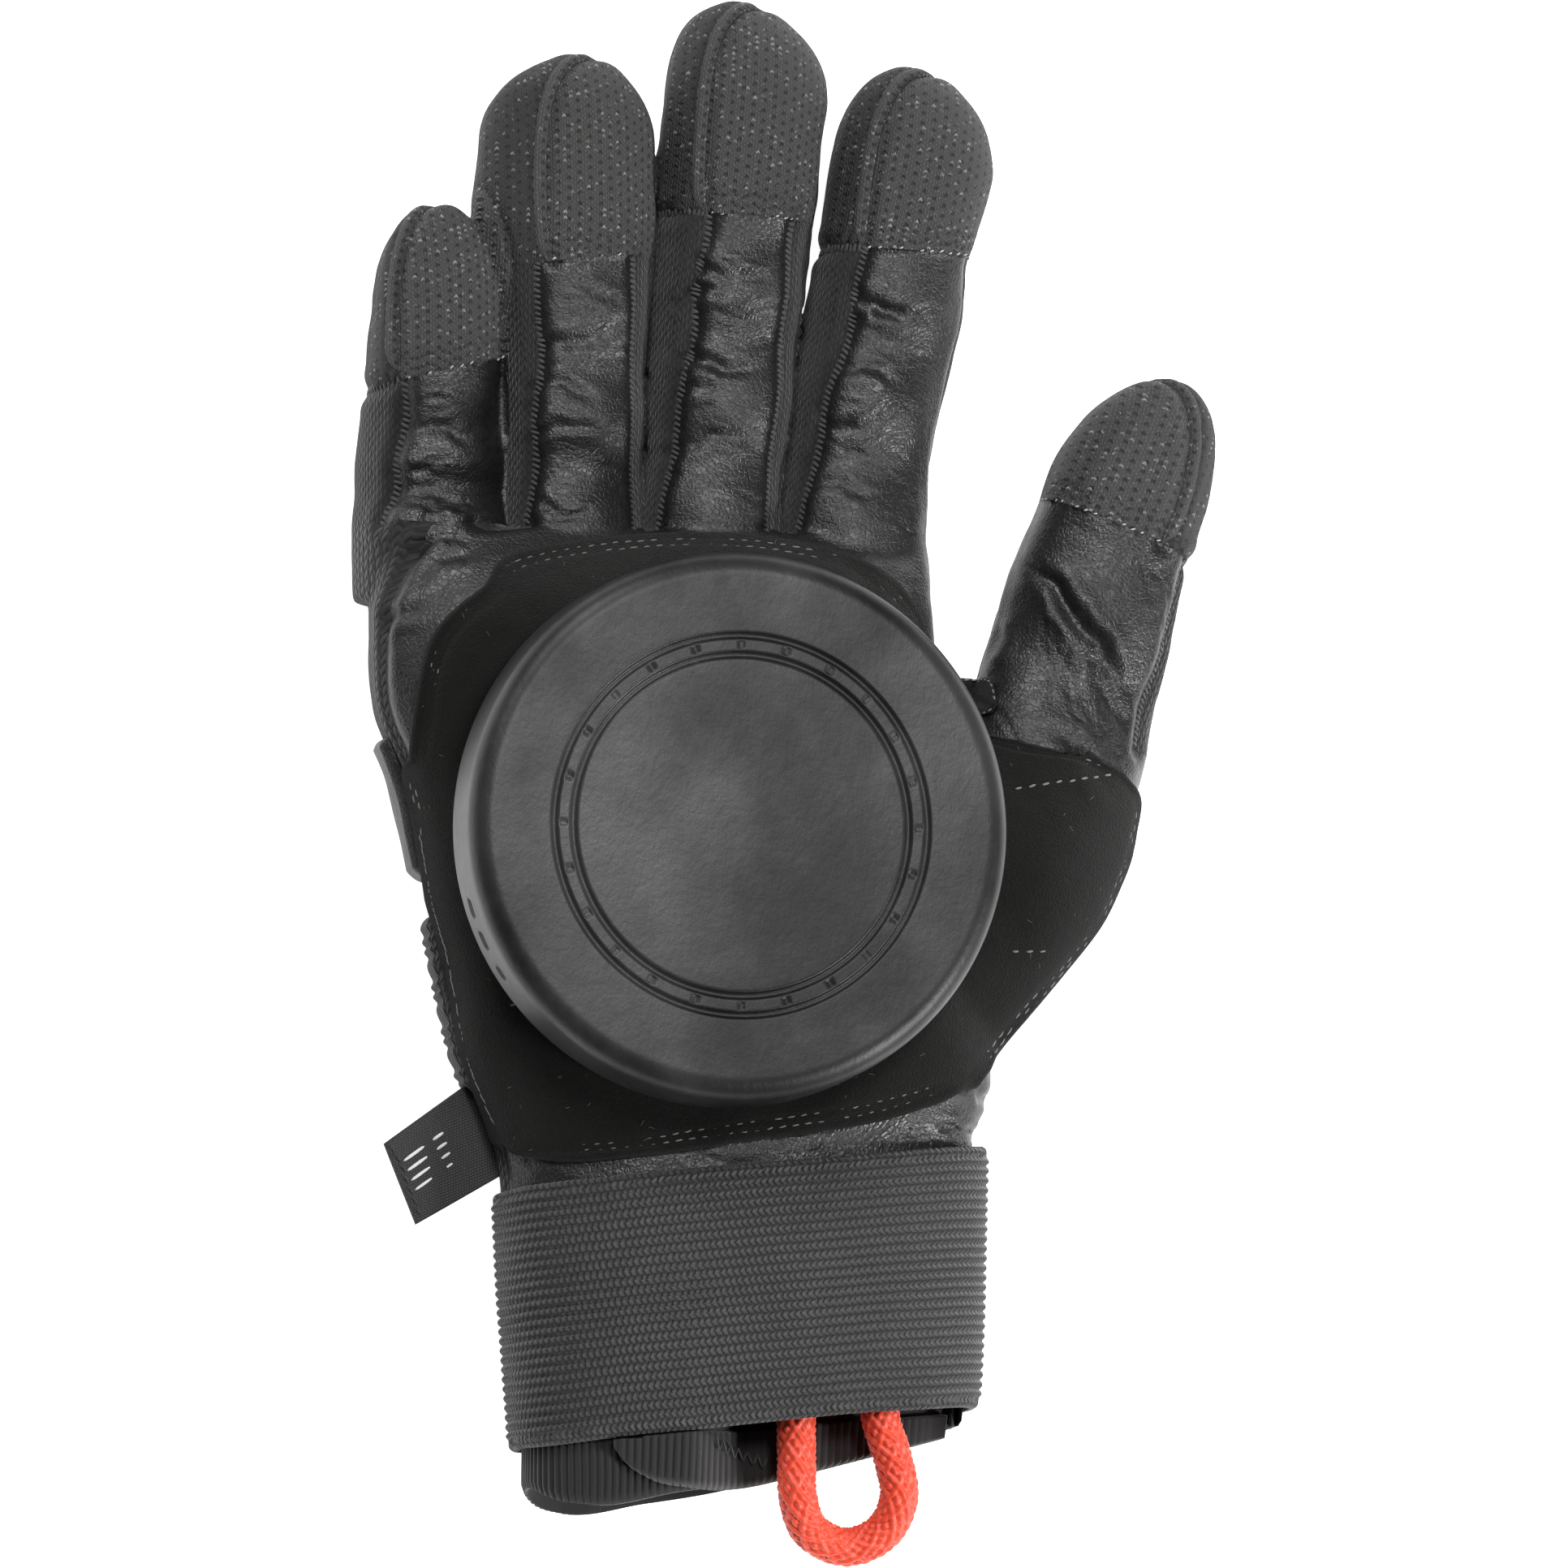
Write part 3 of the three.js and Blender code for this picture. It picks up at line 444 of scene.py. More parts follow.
def capFinish(name, dark, light, fleck):
    finish = Finish(name, Roughness=0.72)
    loops = finish.use(loopGroup, Vector=finish.cloth, Columns_per_mm=1.7, Rows_per_mm=1.15, Lean=0.42)
    holes = finish.use(loopGroup, Vector=finish.cloth, Columns_per_mm=0.46, Rows_per_mm=0.52, Lean=0.12)
    floats = finish.use(loopGroup, Vector=finish.cloth, Columns_per_mm=0.62, Rows_per_mm=0.95, Lean=0.3)
    hole = finish.span(holes["Height"], 0.78, 0.96)
    # colour follows the loops' height and is much darker in the holes: painted shade between the loops and in
    # the holes
    toneWithPaintedShade = finish.math("MULTIPLY", finish.math("MULTIPLY_ADD", loops["Height"], 0.5, 0.35),
                       finish.math("SUBTRACT", 1.0, finish.math("MULTIPLY", hole, 0.7)))
    chance = finish.span(finish.noise(finish.place, 520.0), 0.44, 0.56)
    picked = finish.math("MULTIPLY", floats["Fleck"], chance)
    finish.colour(picked, finish.mix(toneWithPaintedShade, paint(dark), paint(light)), fleck)
    finish.bump((finish.math("SUBTRACT", loops["Height"], finish.math("MULTIPLY", hole, 1.6)), 0.0004, 0.9))
    return finish.material


def knitFinish(name, dark, light, columns, rows, sheen):
    finish = Finish(name, Roughness=0.75, Sheen_Weight=sheen, Sheen_Roughness=0.4)
    loops = finish.use(loopGroup, Vector=finish.cloth, Columns_per_mm=columns, Rows_per_mm=rows, Lean=0.25)
    fuzz = finish.use(fuzzGroup, Vector=finish.place, Fibres_per_metre=3200.0)
    # colour follows the loops' height times random fuzz tone: darker between the loops, painted shade at the
    # stitch scale
    toneWithPaintedShade = finish.math("MULTIPLY", loops["Height"], finish.math("ADD", fuzz["Tone"], 0.3))
    finish.colour(toneWithPaintedShade, dark, light)
    finish.bump((loops["Height"], 0.0004, 0.9), (fuzz["Height"], 0.0001, 0.35))
    return finish.material


def suedeFinish(name, dark, light, lint):
    finish = Finish(name, Roughness=0.95, Sheen_Weight=0.08, Sheen_Roughness=0.5, Specular_IOR_Level=0.1)
    fuzz = finish.use(fuzzGroup, Vector=finish.place)
    finish.colour(fuzz["Lint"], finish.mix(fuzz["Tone"], paint(dark), paint(light)), lint)
    finish.bump((fuzz["Height"], 0.0008, 0.9))
    return finish.material


def plasticFinish(name, dark, light):
    finish = Finish(name, Roughness=0.42, Specular_IOR_Level=0.3)
    cloudy = finish.noise(finish.stretch(finish.place, (1.0, 0.6, 1.0)), 22.0, 5.0, 0.6)
    swirl = finish.noise(finish.place, 48.0, 6.0, 0.62)
    marble = finish.math("MULTIPLY_ADD", swirl, 0.45, finish.math("MULTIPLY", cloudy, 0.7))
    wear = finish.use(wearGroup, Vector=finish.place, Reach=0.6)
    finish.colour(finish.math("MULTIPLY_ADD", wear["Mask"], 0.4, finish.span(marble, 0.4, 0.75)), dark, light)
    grit = finish.noise(finish.stretch(finish.place, (1.0, 0.7, 1.0)), 900.0, 4.0, 0.65)
    dents = finish.noise(finish.place, 130.0, 3.0)
    finish.bump((grit, 0.00014, 0.5), (dents, 0.0005, 0.16))
    finish.join(finish.span(marble, 0.3, 0.8, 0.48, 0.36), finish.shader.inputs["Roughness"])
    return finish.material


def threadFinish(name, dark, light, roughness=0.6):
    finish = Finish(name, Roughness=roughness, Sheen_Weight=0.2)
    fuzz = finish.use(fuzzGroup, Vector=finish.place, Fibres_per_metre=4200.0)
    finish.colour(fuzz["Tone"], dark, light)
    finish.bump((fuzz["Height"], 0.00008, 0.4))
    return finish.material


def wovenFinish(name, dark, light):
    finish = Finish(name, Roughness=0.7)
    loops = finish.use(loopGroup, Vector=finish.cloth, Columns_per_mm=2.4, Rows_per_mm=1.7, Lean=0.1)
    # colour follows the threads' height: darker between them, painted shade at the thread scale
    finish.colour(finish.math("MULTIPLY", loops["Height"], 0.9), dark, light)
    finish.bump((loops["Height"], 0.00015, 0.7))
    return finish.material


finishes = {
    "leather": leatherFinish("grained leather", 0.26, 0.4, (0.006, 0.006, 0.0061), (0.022, 0.022, 0.0224)),
    "smoothLeather": leatherFinish("smooth leather", 0.3, 0.52, (0.005, 0.005, 0.0052),
                                   (0.015, 0.015, 0.0154)),
    "cap": capFinish("flecked fingertip knit", 0.006, (0.1, 0.1, 0.099), (0.32, 0.32, 0.31)),
    # the same flecked knit in darker tones, for the cap's far side beyond its seam: painted shade
    "shadedCap": capFinish("flecked cap knit in painted shade", 0.003, 0.04, (0.28, 0.28, 0.275)),
    "knit": knitFinish("ribbed side knit", 0.0015, (0.012, 0.012, 0.0123), 1.0, 0.55, 0.15),
    "suede": suedeFinish("napped suede", (0.0015, 0.0015, 0.0013), (0.013, 0.0132, 0.012),
                         (0.1, 0.102, 0.1)),
    "puck": plasticFinish("moulded puck plastic", 0.0015, 0.032),
    "hook": suedeFinish("hook and loop pile", 0.006, 0.03, 0.15),
    "elastic": knitFinish("elastic webbing", 0.003, (0.075, 0.075, 0.0755), 0.593, 0.87, 0.15),
    "ribKnit": threadFinish("ribbed cuff knit", (0.0015, 0.0014, 0.0013), (0.009, 0.0088, 0.0085), 0.85),
    "cord": threadFinish("braided cord", (0.42, 0.018, 0.006), (1.0, 0.095, 0.034), 0.45),
    "woven": wovenFinish("woven tab", (0.008, 0.008, 0.0085), (0.04, 0.04, 0.041)),
    "serging": threadFinish("serging thread", 0.012, 0.05),
    "stitch": threadFinish("grey stitching", 0.07, (0.22, 0.22, 0.215)),
    "darkStitch": threadFinish("dark stitching", 0.001, 0.006),
    "bars": threadFinish("white thread bars", (0.5, 0.5, 0.49), (0.8, 0.8, 0.78)),
    "lint": threadFinish("loose fibres", (0.25, 0.25, 0.24), (0.6, 0.6, 0.58)),
    "lining": knitFinish("inner lining", 0.004, 0.015, 1.2, 1.2, 0.1),
}
say("materials")


# Pull loop: a braided cord that leaves from under the strap and goes back there
loopSettings = {
    "route": [(-4.5, -106.5, 31.6), (-4.5, -115.5, 31.4), (-4.4, -122, 31.2), (-4.0, -128.5, 30.6),
              (-1.2, -134, 28.2), (5.4, -136.6, 26.8), (11.6, -134, 28.2), (14.1, -128, 30.6),
              (12.8, -121, 31.2), (10.6, -114, 31.4), (10.2, -105, 31.6)],
    "diameter": 7.0,
    "picks": 6,  # strands each way round the cord
    "pickLength": 2.5,  # how far one pick runs along the cord
    "relief": 0.6,
    "routeSteps": 400,
    "stepsPerMm": 3.2,
    "columns": 60,
    "pathPoints": 30,  # how many points the cord's path is told with
}


def makeLoop(settings):
    rough = splinePoints(settings["route"], settings["routeSteps"])
    length = lengthOf(rough)
    line = evenly(rough, int(length * settings["stepsPerMm"]))
    radius = settings["diameter"] / 2 - settings["relief"]

    def profile(run, turn):
        across = turn / (2 * math.pi) * settings["picks"] * 2
        along = run / settings["pickLength"]
        one, other = (math.sin(math.pi * (lane % 1.0)) ** 0.7 for lane in (across + along, across - along))
        over = 0.5 + 0.5 * math.sin(math.pi * along) * math.cos(math.pi * across)
        high = one * over + other * (1 - over)
        size = radius + settings["relief"] * (high * 1.5 - 0.45)
        return size * math.cos(turn), size * math.sin(turn)

    points, faces, uvs = tubeAlong(line, profile, settings["columns"])
    cord = dress(newObject("braidedLoop", points, faces, uvs), finishes["cord"], "cord", "pull_loop")
    return length


say("pull loop %.1f mm" % makeLoop(loopSettings))


# The hand: palm and digits as one smooth body, then parted along the seams
palmTable = {
    "x": -20, "y": -84, "length": 126, "width": 101, "depth": 38, "rounding": 2.7,
    "seamHeight": 18, "seamTilt": 7,
    "rows": [  # at, left, right, depth, base
        (0.0, -0.34, 0.465, 0.88, 0.075), (0.1, -0.345, 0.475, 0.89, 0.07), (0.15, -0.36, 0.485, 0.91, 0.05),
        (0.21, -0.385, 0.51, 1.0, 0.0), (0.29, -0.415, 0.52, 1.05, -0.03), (0.4, -0.445, 0.51, 1.07, -0.04),
        (0.52, -0.48, 0.49, 1.08, -0.04), (0.64, -0.515, 0.45, 1.08, -0.04), (0.76, -0.57, 0.43, 1.07, -0.04),
        (0.88, -0.572, 0.42, 1.0, -0.04), (0.95, -0.565, 0.42, 0.85, -0.03), (1.0, -0.555, 0.415, 0.66, 0.0),
    ],
}
fingerSeam = {"seamHeight": 0.86, "seamTilt": 17, "seamDip": -5}
digitTables = [  # rows: at, side, width, depth, base, crease
    {**fingerSeam, "name": "little", "x": -65.26, "length": 69.4, "width": 24.4, "depth": 22, "lean": -0.6,
     "dome": 0.25, "skew": 0.02, "capAt": 0.575, "capSlant": 13, "capSeam": -0.42,
     "rows": [(0.0, -0.04, 1.08, 1.1, -0.05, 0.0), (0.2, -0.04, 1.08, 1.12, -0.05, 0.0),
              (0.27, -0.04, 1.05, 1.08, -0.05, 0.09), (0.34, -0.03, 1.07, 1.06, -0.05, 0.0),
              (0.44, -0.02, 1.02, 1.04, -0.03, 0.05), (0.53, -0.01, 0.98, 1.02, -0.01, 0.0),
              (0.64, 0.0, 0.96, 1.0, 0.03, 0.0), (0.75, 0.02, 0.91, 0.96, 0.07, 0.0)]},
    {**fingerSeam, "name": "ring", "x": -40.83, "length": 96.6, "width": 24, "depth": 25, "lean": -0.3,
     "dome": 0.185, "skew": 0.03, "capAt": 0.62, "capSlant": 6, "capSeam": -0.3, "rightSeam": 0.41,
     "rows": [(0.0, 0.0, 1.0, 1.04, -0.05, 0.0), (0.16, 0.0, 1.0, 1.06, -0.05, 0.0),
              (0.24, 0.0, 1.0, 1.04, -0.05, 0.06), (0.33, 0.0, 1.03, 1.03, -0.04, 0.0),
              (0.43, -0.01, 1.05, 1.02, -0.02, 0.06), (0.52, -0.02, 1.1, 1.0, 0.0, 0.0),
              (0.64, -0.06, 1.25, 1.0, 0.03, 0.02), (0.75, -0.07, 1.31, 0.98, 0.06, 0.0),
              (0.815, -0.05, 1.28, 0.94, 0.09, 0.0)]},
    {**fingerSeam, "name": "middle", "x": -17.74, "length": 106.4, "width": 24, "depth": 25, "lean": 5,
     "dome": 0.17, "skew": -0.12, "capAt": 0.642, "capSlant": 2, "capSeam": -0.4, "rightSeam": 0.38,
     "rows": [(0.0, 0.0, 1.0, 1.04, -0.05, 0.0), (0.16, 0.0, 1.0, 1.06, -0.05, 0.0),
              (0.24, 0.0, 1.01, 1.04, -0.05, 0.05), (0.33, 0.0, 1.04, 1.03, -0.04, 0.0),
              (0.44, 0.0, 1.05, 1.02, -0.02, 0.07), (0.52, 0.0, 1.07, 1.0, 0.0, 0.0),
              (0.6, 0.0, 1.08, 1.0, 0.02, 0.05), (0.7, -0.02, 1.14, 0.99, 0.05, 0.0),
              (0.83, -0.01, 1.2, 0.96, 0.09, 0.0)]},
    {**fingerSeam, "name": "index", "x": 6.52, "length": 96, "width": 26, "depth": 25, "lean": 9.5,
     "dome": 0.18, "skew": -0.08, "capAt": 0.66, "capSlant": 7, "capSeam": -0.37,
     "rows": [(0.0, 0.0, 1.0, 1.04, -0.05, 0.0), (0.16, 0.0, 1.0, 1.06, -0.05, 0.0),
              (0.25, -0.02, 1.0, 1.04, -0.05, 0.05), (0.37, -0.03, 0.99, 1.03, -0.04, 0.0),
              (0.47, -0.01, 1.03, 1.02, -0.02, 0.06), (0.57, 0.0, 1.06, 1.0, 0.0, 0.0),
              (0.66, -0.02, 1.02, 1.0, 0.03, 0.03), (0.75, 0.0, 1.07, 0.98, 0.06, 0.0),
              (0.82, 0.01, 1.1, 0.95, 0.09, 0.0)]},
    {"name": "thumb", "x": 10.7, "y": -52, "length": 134.6, "width": 30, "depth": 27, "lean": 23.8,
     "dome": 0.17, "skew": 0.02, "capAt": 0.786, "capSlant": 1, "seamHeight": 0.6,
     "seamTilt": -22, "seamDip": 0, "split": 0.53, "crotchX": 23, "capSeam": 0.3,
     "rows": [(0.0, -0.05, 1.2, 1.1, -0.04, 0.0), (0.14, 0.03, 1.4, 1.28, -0.04, 0.0),
              (0.27, 0.17, 1.42, 1.32, -0.04, 0.0), (0.4, 0.31, 1.22, 1.22, -0.03, 0.0),
              (0.5, 0.26, 1.1, 1.12, 0.0, 0.0), (0.585, 0.21, 1.05, 1.06, 0.03, 0.07),
              (0.67, 0.16, 1.03, 1.02, 0.06, 0.0), (0.76, 0.1, 0.97, 0.98, 0.1, 0.02),
              (0.83, 0.07, 0.92, 0.94, 0.14, 0.0)]},
]
handSettings = {
    "startY": 30, "splitY": 43,  # where the fingers begin inside the palm, and where their seams do
    "digitRounding": 2.3,
    "voxel": 0.00076,
    "smoothing": 9,  # rounds that soften the voxels' steps
    "hemRows": (1.5, 3.3),  # mm from a cap's lower edge to its two rows of stitches
    "clothRound": 13.5, "clothAlong": 1.05, "palmRound": 36,  # scale of the cloth's grid on digits and palm
    "wristTrim": 1.5,  # mm above the palm's lower end where the skin is cut open
    "floorZone": 0.25,  # below this height the skin stays flat on the floor
    "capSeamTilt": 42,  # how far the cap's seam leans over the fingertip
    "capSeamRise": 1.02,
    "seamDepth": 0.75,
    "seamWidth": 1.3,
}


def rounded(turns, rounding):  # a circle squared off as the rounding grows past 2
    return [np.sign(wave) * np.abs(wave) ** (2 / rounding) for wave in (np.cos(turns), np.sin(turns))]


def closedLoft(rings):
    sides = len(rings[0])
    points = list(np.concatenate(rings))
    faces = gridFaces(len(rings), sides)
    for ring, first, flip in ((rings[0], 0, True), (rings[-1], (len(rings) - 1) * sides, False)):
        points.append(np.mean(ring, axis=0))
        for side in range(sides):
            here, after = first + side, first + (side + 1) % sides
            faces.append((len(points) - 1, after, here) if flip else (len(points) - 1, here, after))
    return points, faces


def alongAndSide(digit, points):
    lean = math.radians(digit["lean"])
    x = points[:, 0] - digit["x"]
    y = points[:, 1] - digit.get("y", handSettings["startY"])
    return x * math.sin(lean) + y * math.cos(lean), x * math.cos(lean) - y * math.sin(lean)


def onDigit(digit, along, sideways, z):
    lean = math.radians(digit["lean"])
    x = digit["x"] + along * math.sin(lean) + sideways * math.cos(lean)
    y = digit.get("y", handSettings["startY"]) + along * math.cos(lean) - sideways * math.sin(lean)
    return np.stack([x, y, z], axis=-1)


def spotOnDigit(digit, along, side=0.0, rise=0.0):  # shares of its length, width and depth
    return onDigit(digit, along * digit["length"], side * digit["width"], rise * digit["depth"])


def sectionOf(table, at, across, rise, grow=0.0):  # x and z round a body's section
    rows = np.array(table["rows"])
    left, right, deep, base = (through(rows[:, 0], rows[:, k], at) for k in range(1, 5))
    half = (right - left) / 2 * table["width"] + grow
    x = table["x"] + (left + right) / 2 * table["width"] + half * across
    return x, (base + deep / 2) * table["depth"] + (deep * table["depth"] / 2 + grow) * rise


def digitLoft(digit, sides=64, rowCount=80, domeRows=16):
    table = np.array(digit["rows"])
    length, width, depth = digit["length"], digit["width"], digit["depth"]
    across, rise = rounded(allRound(sides) + math.pi / sides, handSettings["digitRounding"])
    last = table[-1]
    stations = [(at, 1.0, 0.0) for at in np.linspace(0, last[0], rowCount)]
    for turn in np.linspace(0, math.pi / 2 * 0.985, domeRows + 1)[1:]:
        stations.append((last[0] + digit["dome"] * math.sin(turn), math.cos(turn), math.sin(turn) ** 2))
    rings = []
    for at, share, shiftShare in stations:
        row = [through(table[:, 0], table[:, k], min(at, last[0])) for k in range(1, 6)]
        side, wide, deep, base, crease = row
        sink = crease * depth * share * np.maximum(rise, 0)
        z = (base + deep / 2) * depth + deep * depth * share / 2 * rise - sink
        sideways = (side + digit["skew"] * shiftShare) * width + wide * width * share / 2 * across
        rings.append(onDigit(digit, np.full(sides, at * length), sideways, np.maximum(z, 0)))
    return closedLoft(rings)


def palmSection(at, grow=0.0, sides=96, table=palmTable):
    across, rise = rounded(allRound(sides) + math.pi / sides, table["rounding"])
    x, z = sectionOf(table, at, across, rise, grow)
    z = np.clip(z, 0, table["depth"] + grow)
    return np.stack([x, np.full(sides, table["y"] + at * table["length"]), z], axis=1)


def makeBody():  # one closed skin over the lofts of the palm and the digits
    points, faces = [], []
    palmLoft = closedLoft([palmSection(at) for at in np.linspace(0, 1, 100)])
    for loftPoints, loftFaces in [palmLoft] + [digitLoft(digit) for digit in digitTables]:
        faces += raised(loftFaces, len(points))
        points += loftPoints
    rough = newObject("roughHand", points, faces)
    remesh = rough.modifiers.new("skin", "REMESH")
    remesh.mode, remesh.voxel_size = "VOXEL", handSettings["voxel"]
    smoothing = rough.modifiers.new("soften", "SMOOTH")
    smoothing.factor, smoothing.iterations = 0.5, handSettings["smoothing"]
    built = bpy.data.meshes.new_from_object(rough.evaluated_get(bpy.context.evaluated_depsgraph_get()))
    bpy.data.objects.remove(rough)
    return built


def pastNormal(turn):
    return Vector((math.sin(math.radians(turn)), math.cos(math.radians(turn)), 0))


def aboveNormal(tilt, dip, turn):
    t, d, s = (math.radians(v) for v in (tilt, dip, turn))
    x, y, z = math.sin(t) * math.cos(d), math.sin(d), math.cos(t) * math.cos(d)
    return Vector((x * math.cos(s) + y * math.sin(s), -x * math.sin(s) + y * math.cos(s), z))


def fingerShares(points):  # how far each point is from each finger's middle, in that finger's widths
    shares = []
    for digit in digitTables[:4]:
        along, sideways = alongAndSide(digit, points)
        past = np.maximum(along - digit["length"] + digit["width"] / 2, 0)
        shares.append(np.hypot(past, sideways) / digit["width"])
    return np.array(shares)


def digitOf(points):  # 0 to 4 for the digits, 5 for the palm and the back
    owner = np.full(len(points), 5)
    thumb = digitTables[4]
    along, sideways = alongAndSide(thumb, points)
    crotch = palmTable["x"] + palmTable["rows"][8][2] * palmTable["width"]
    onThumb = (along > thumb["split"] * thumb["length"]) & (points[:, 0] > crotch) & (sideways > -24)
    finger = np.argmin(fingerShares(points), axis=0)
    onFinger = (points[:, 1] > handSettings["splitY"]) & ~onThumb
    owner[onFinger] = finger[onFinger]
    owner[onThumb] = 4
    return owner


def planesOf(digit):
    place = Vector(spotOnDigit(digit, digit["capAt"], 0, digit["seamHeight"]))
    seamSpot = Vector(spotOnDigit(digit, digit["capAt"], digit["capSeam"], handSettings["capSeamRise"]))
    seamTilt = math.copysign(handSettings["capSeamTilt"], -digit["capSeam"])
    planes = {
        "cap": (place, pastNormal(digit["lean"] - digit["capSlant"])),
        "tip": (seamSpot, aboveNormal(seamTilt, 0, digit["lean"])),
        "front": (place, aboveNormal(digit["seamTilt"], digit["seamDip"], digit["lean"])),
    }
    if "rightSeam" in digit:
        edge = Vector(spotOnDigit(digit, 0, digit["rightSeam"]))
        planes["right"] = (edge, -pastNormal(digit["lean"] + 90))
    return planes


def beyond(points, plane):
    return (points - np.array(plane[0])) @ np.array(plane[1]) > 0


palmPlane = (Vector((palmTable["x"], 0, palmTable["seamHeight"])), aboveNormal(palmTable["seamTilt"], 0, 0))
digitParts = ("front", "cap", "tip", "sleeve")
regionNames = [f"{digit['name']}_{part}" for digit in digitTables for part in digitParts]
regionNames += ["palm_leather", "hand_back"]


def regionsOf(points):
    owner = digitOf(points)
    region = np.where(beyond(points, palmPlane), 20, 21)
    for index, digit in enumerate(digitTables):
        planes = planesOf(digit)
        mine = owner == index
        upper = beyond(points, planes["cap"])
        onFront = beyond(points, planes["front"])
        if "right" in planes:
            onFront &= beyond(points, planes["right"])
        part = np.where(upper, np.where(beyond(points, planes["tip"]), 1, 2), np.where(onFront, 0, 3))
        region[mine] = index * 4 + part[mine]
    return region


def centresOf(bm):
    return np.array([face.calc_center_median() for face in bm.faces])


def partAlongSeams(mesh):  # cuts the skin's faces along every seam plane, so that its pieces have crisp edges
    bm = bmesh.new()
    bm.from_mesh(mesh)
    bmesh.ops.transform(bm, matrix=Matrix.Scale(1000, 4), verts=bm.verts)
    bmesh.ops.translate(bm, vec=-Vector(shift), verts=bm.verts)

    def cut(plane, wanted):
        chosen = [face for face, keep in zip(bm.faces[:], wanted(centresOf(bm))) if keep]
        parts = {e for face in chosen for e in face.edges} | {v for face in chosen for v in face.verts}
        bmesh.ops.bisect_plane(bm, geom=chosen + list(parts), dist=0.02, plane_co=plane[0], plane_no=plane[1])

    wrist = palmTable["y"] + handSettings["wristTrim"]
    bmesh.ops.delete(bm, geom=[v for v in bm.verts if v.co.y < wrist], context="VERTS")
    splitY = handSettings["splitY"]
    cut((Vector((0, splitY, 0)), Vector((0, 1, 0))), lambda c: np.abs(c[:, 1] - splitY) < 3)
    thumb = digitTables[4]
    root = Vector(spotOnDigit(thumb, thumb["split"]))
    cut((root, pastNormal(thumb["lean"])), lambda c: (c[:, 0] > thumb["crotchX"]) & (c[:, 1] < splitY))
    for index, digit in enumerate(digitTables):
        planes = planesOf(digit)
        cut(planes["cap"], lambda c: digitOf(c) == index)
        cut(planes["tip"], lambda c: (digitOf(c) == index) & beyond(c, planes["cap"]))
        below = lambda c: (digitOf(c) == index) & ~beyond(c, planes["cap"])
        cut(planes["front"], below)
        if "right" in planes:
            cut(planes["right"], lambda c: below(c) & beyond(c, planes["front"]))
    cut(palmPlane, lambda c: digitOf(c) == 5)
    return bm


body = partAlongSeams(makeBody())
bodyRegions = regionsOf(centresOf(body))
body.normal_update()
say("hand %d faces" % len(body.faces))


# Folds of the leather, each as the camera sees it: from, to, how far it bows, depth and width, in mm
foldSettings = {
    "rows": [
        ((-66, 45), (-53, 49), 1.5, 1.0, 1.5), ((-65, 41), (-55, 43), 1.0, 0.6, 1.2),
        ((-70, 55), (-60, 57), -1.0, 0.6, 1.2), ((-66, 63), (-55, 60), 1.0, 0.7, 1.3),
        ((-65, 36), (-54, 41), 1.2, 0.9, 1.6), ((-71, 27), (-64, 31), 0.8, 0.9, 1.6),
        ((-45, 77), (-28, 81), -1.5, 1.1, 1.6), ((-47, 70), (-33, 68), 1.2, 0.9, 1.5),
        ((-46, 60), (-32, 63), 1.2, 0.8, 1.4), ((-44, 50), (-34, 47), -1.0, 0.7, 1.3),
        ((-38, 88), (-29, 84), 0.8, 0.6, 1.1), ((-18, 93), (-3, 89), -1.5, 1.2, 1.5),
        ((-20, 84), (-6, 87), 1.5, 1.3, 1.6), ((-21, 77), (-5, 73), -1.2, 1.3, 1.6),
        ((-20, 68), (-10, 70), 0.8, 0.7, 1.2), ((-23, 57), (-6, 61), 1.4, 0.9, 1.5),
        ((11, 87), (24, 82), -1.2, 1.1, 1.5), ((10, 80), (22, 84), 1.2, 1.2, 1.5),
        ((9, 73), (20, 71), 1.0, 0.8, 1.4), ((6, 62), (19, 66), -1.2, 0.8, 1.5),
        ((4, 53), (16, 50), 1.0, 0.7, 1.4), ((45, 36.5), (58, 17.5), 1.4, 2.0, 2.2),
        ((50, 26), (60, 8), 1.0, 0.8, 1.6), ((41, 41), (52, 27), 1.0, 0.7, 1.4),
        ((48, 10), (57, -2), 1.0, 0.8, 1.8), ((31, 20), (38, 31), -1.2, 1.0, 2.0),
        ((22, 30), (12, 36), 1.0, 0.9, 1.6), ((30, -52), (38, -58), 0.8, 1.2, 1.4),
        ((27, -60), (37, -64), 0.8, 1.0, 1.2),
    ],
    "lips": 0.45,  # how high the leather stands beside a fold, a share of its depth
    "strength": 0.62, "widen": 0.85,  # shares of every fold's depth and width
    "smallPerDigit": 30,
    "smallBow": (-1, 1),
    "smallDepth": (0.12, 0.38),
    "smallWidth": (0.4, 0.65),
    "palmCreases": 26,
    "seed": 11,
}


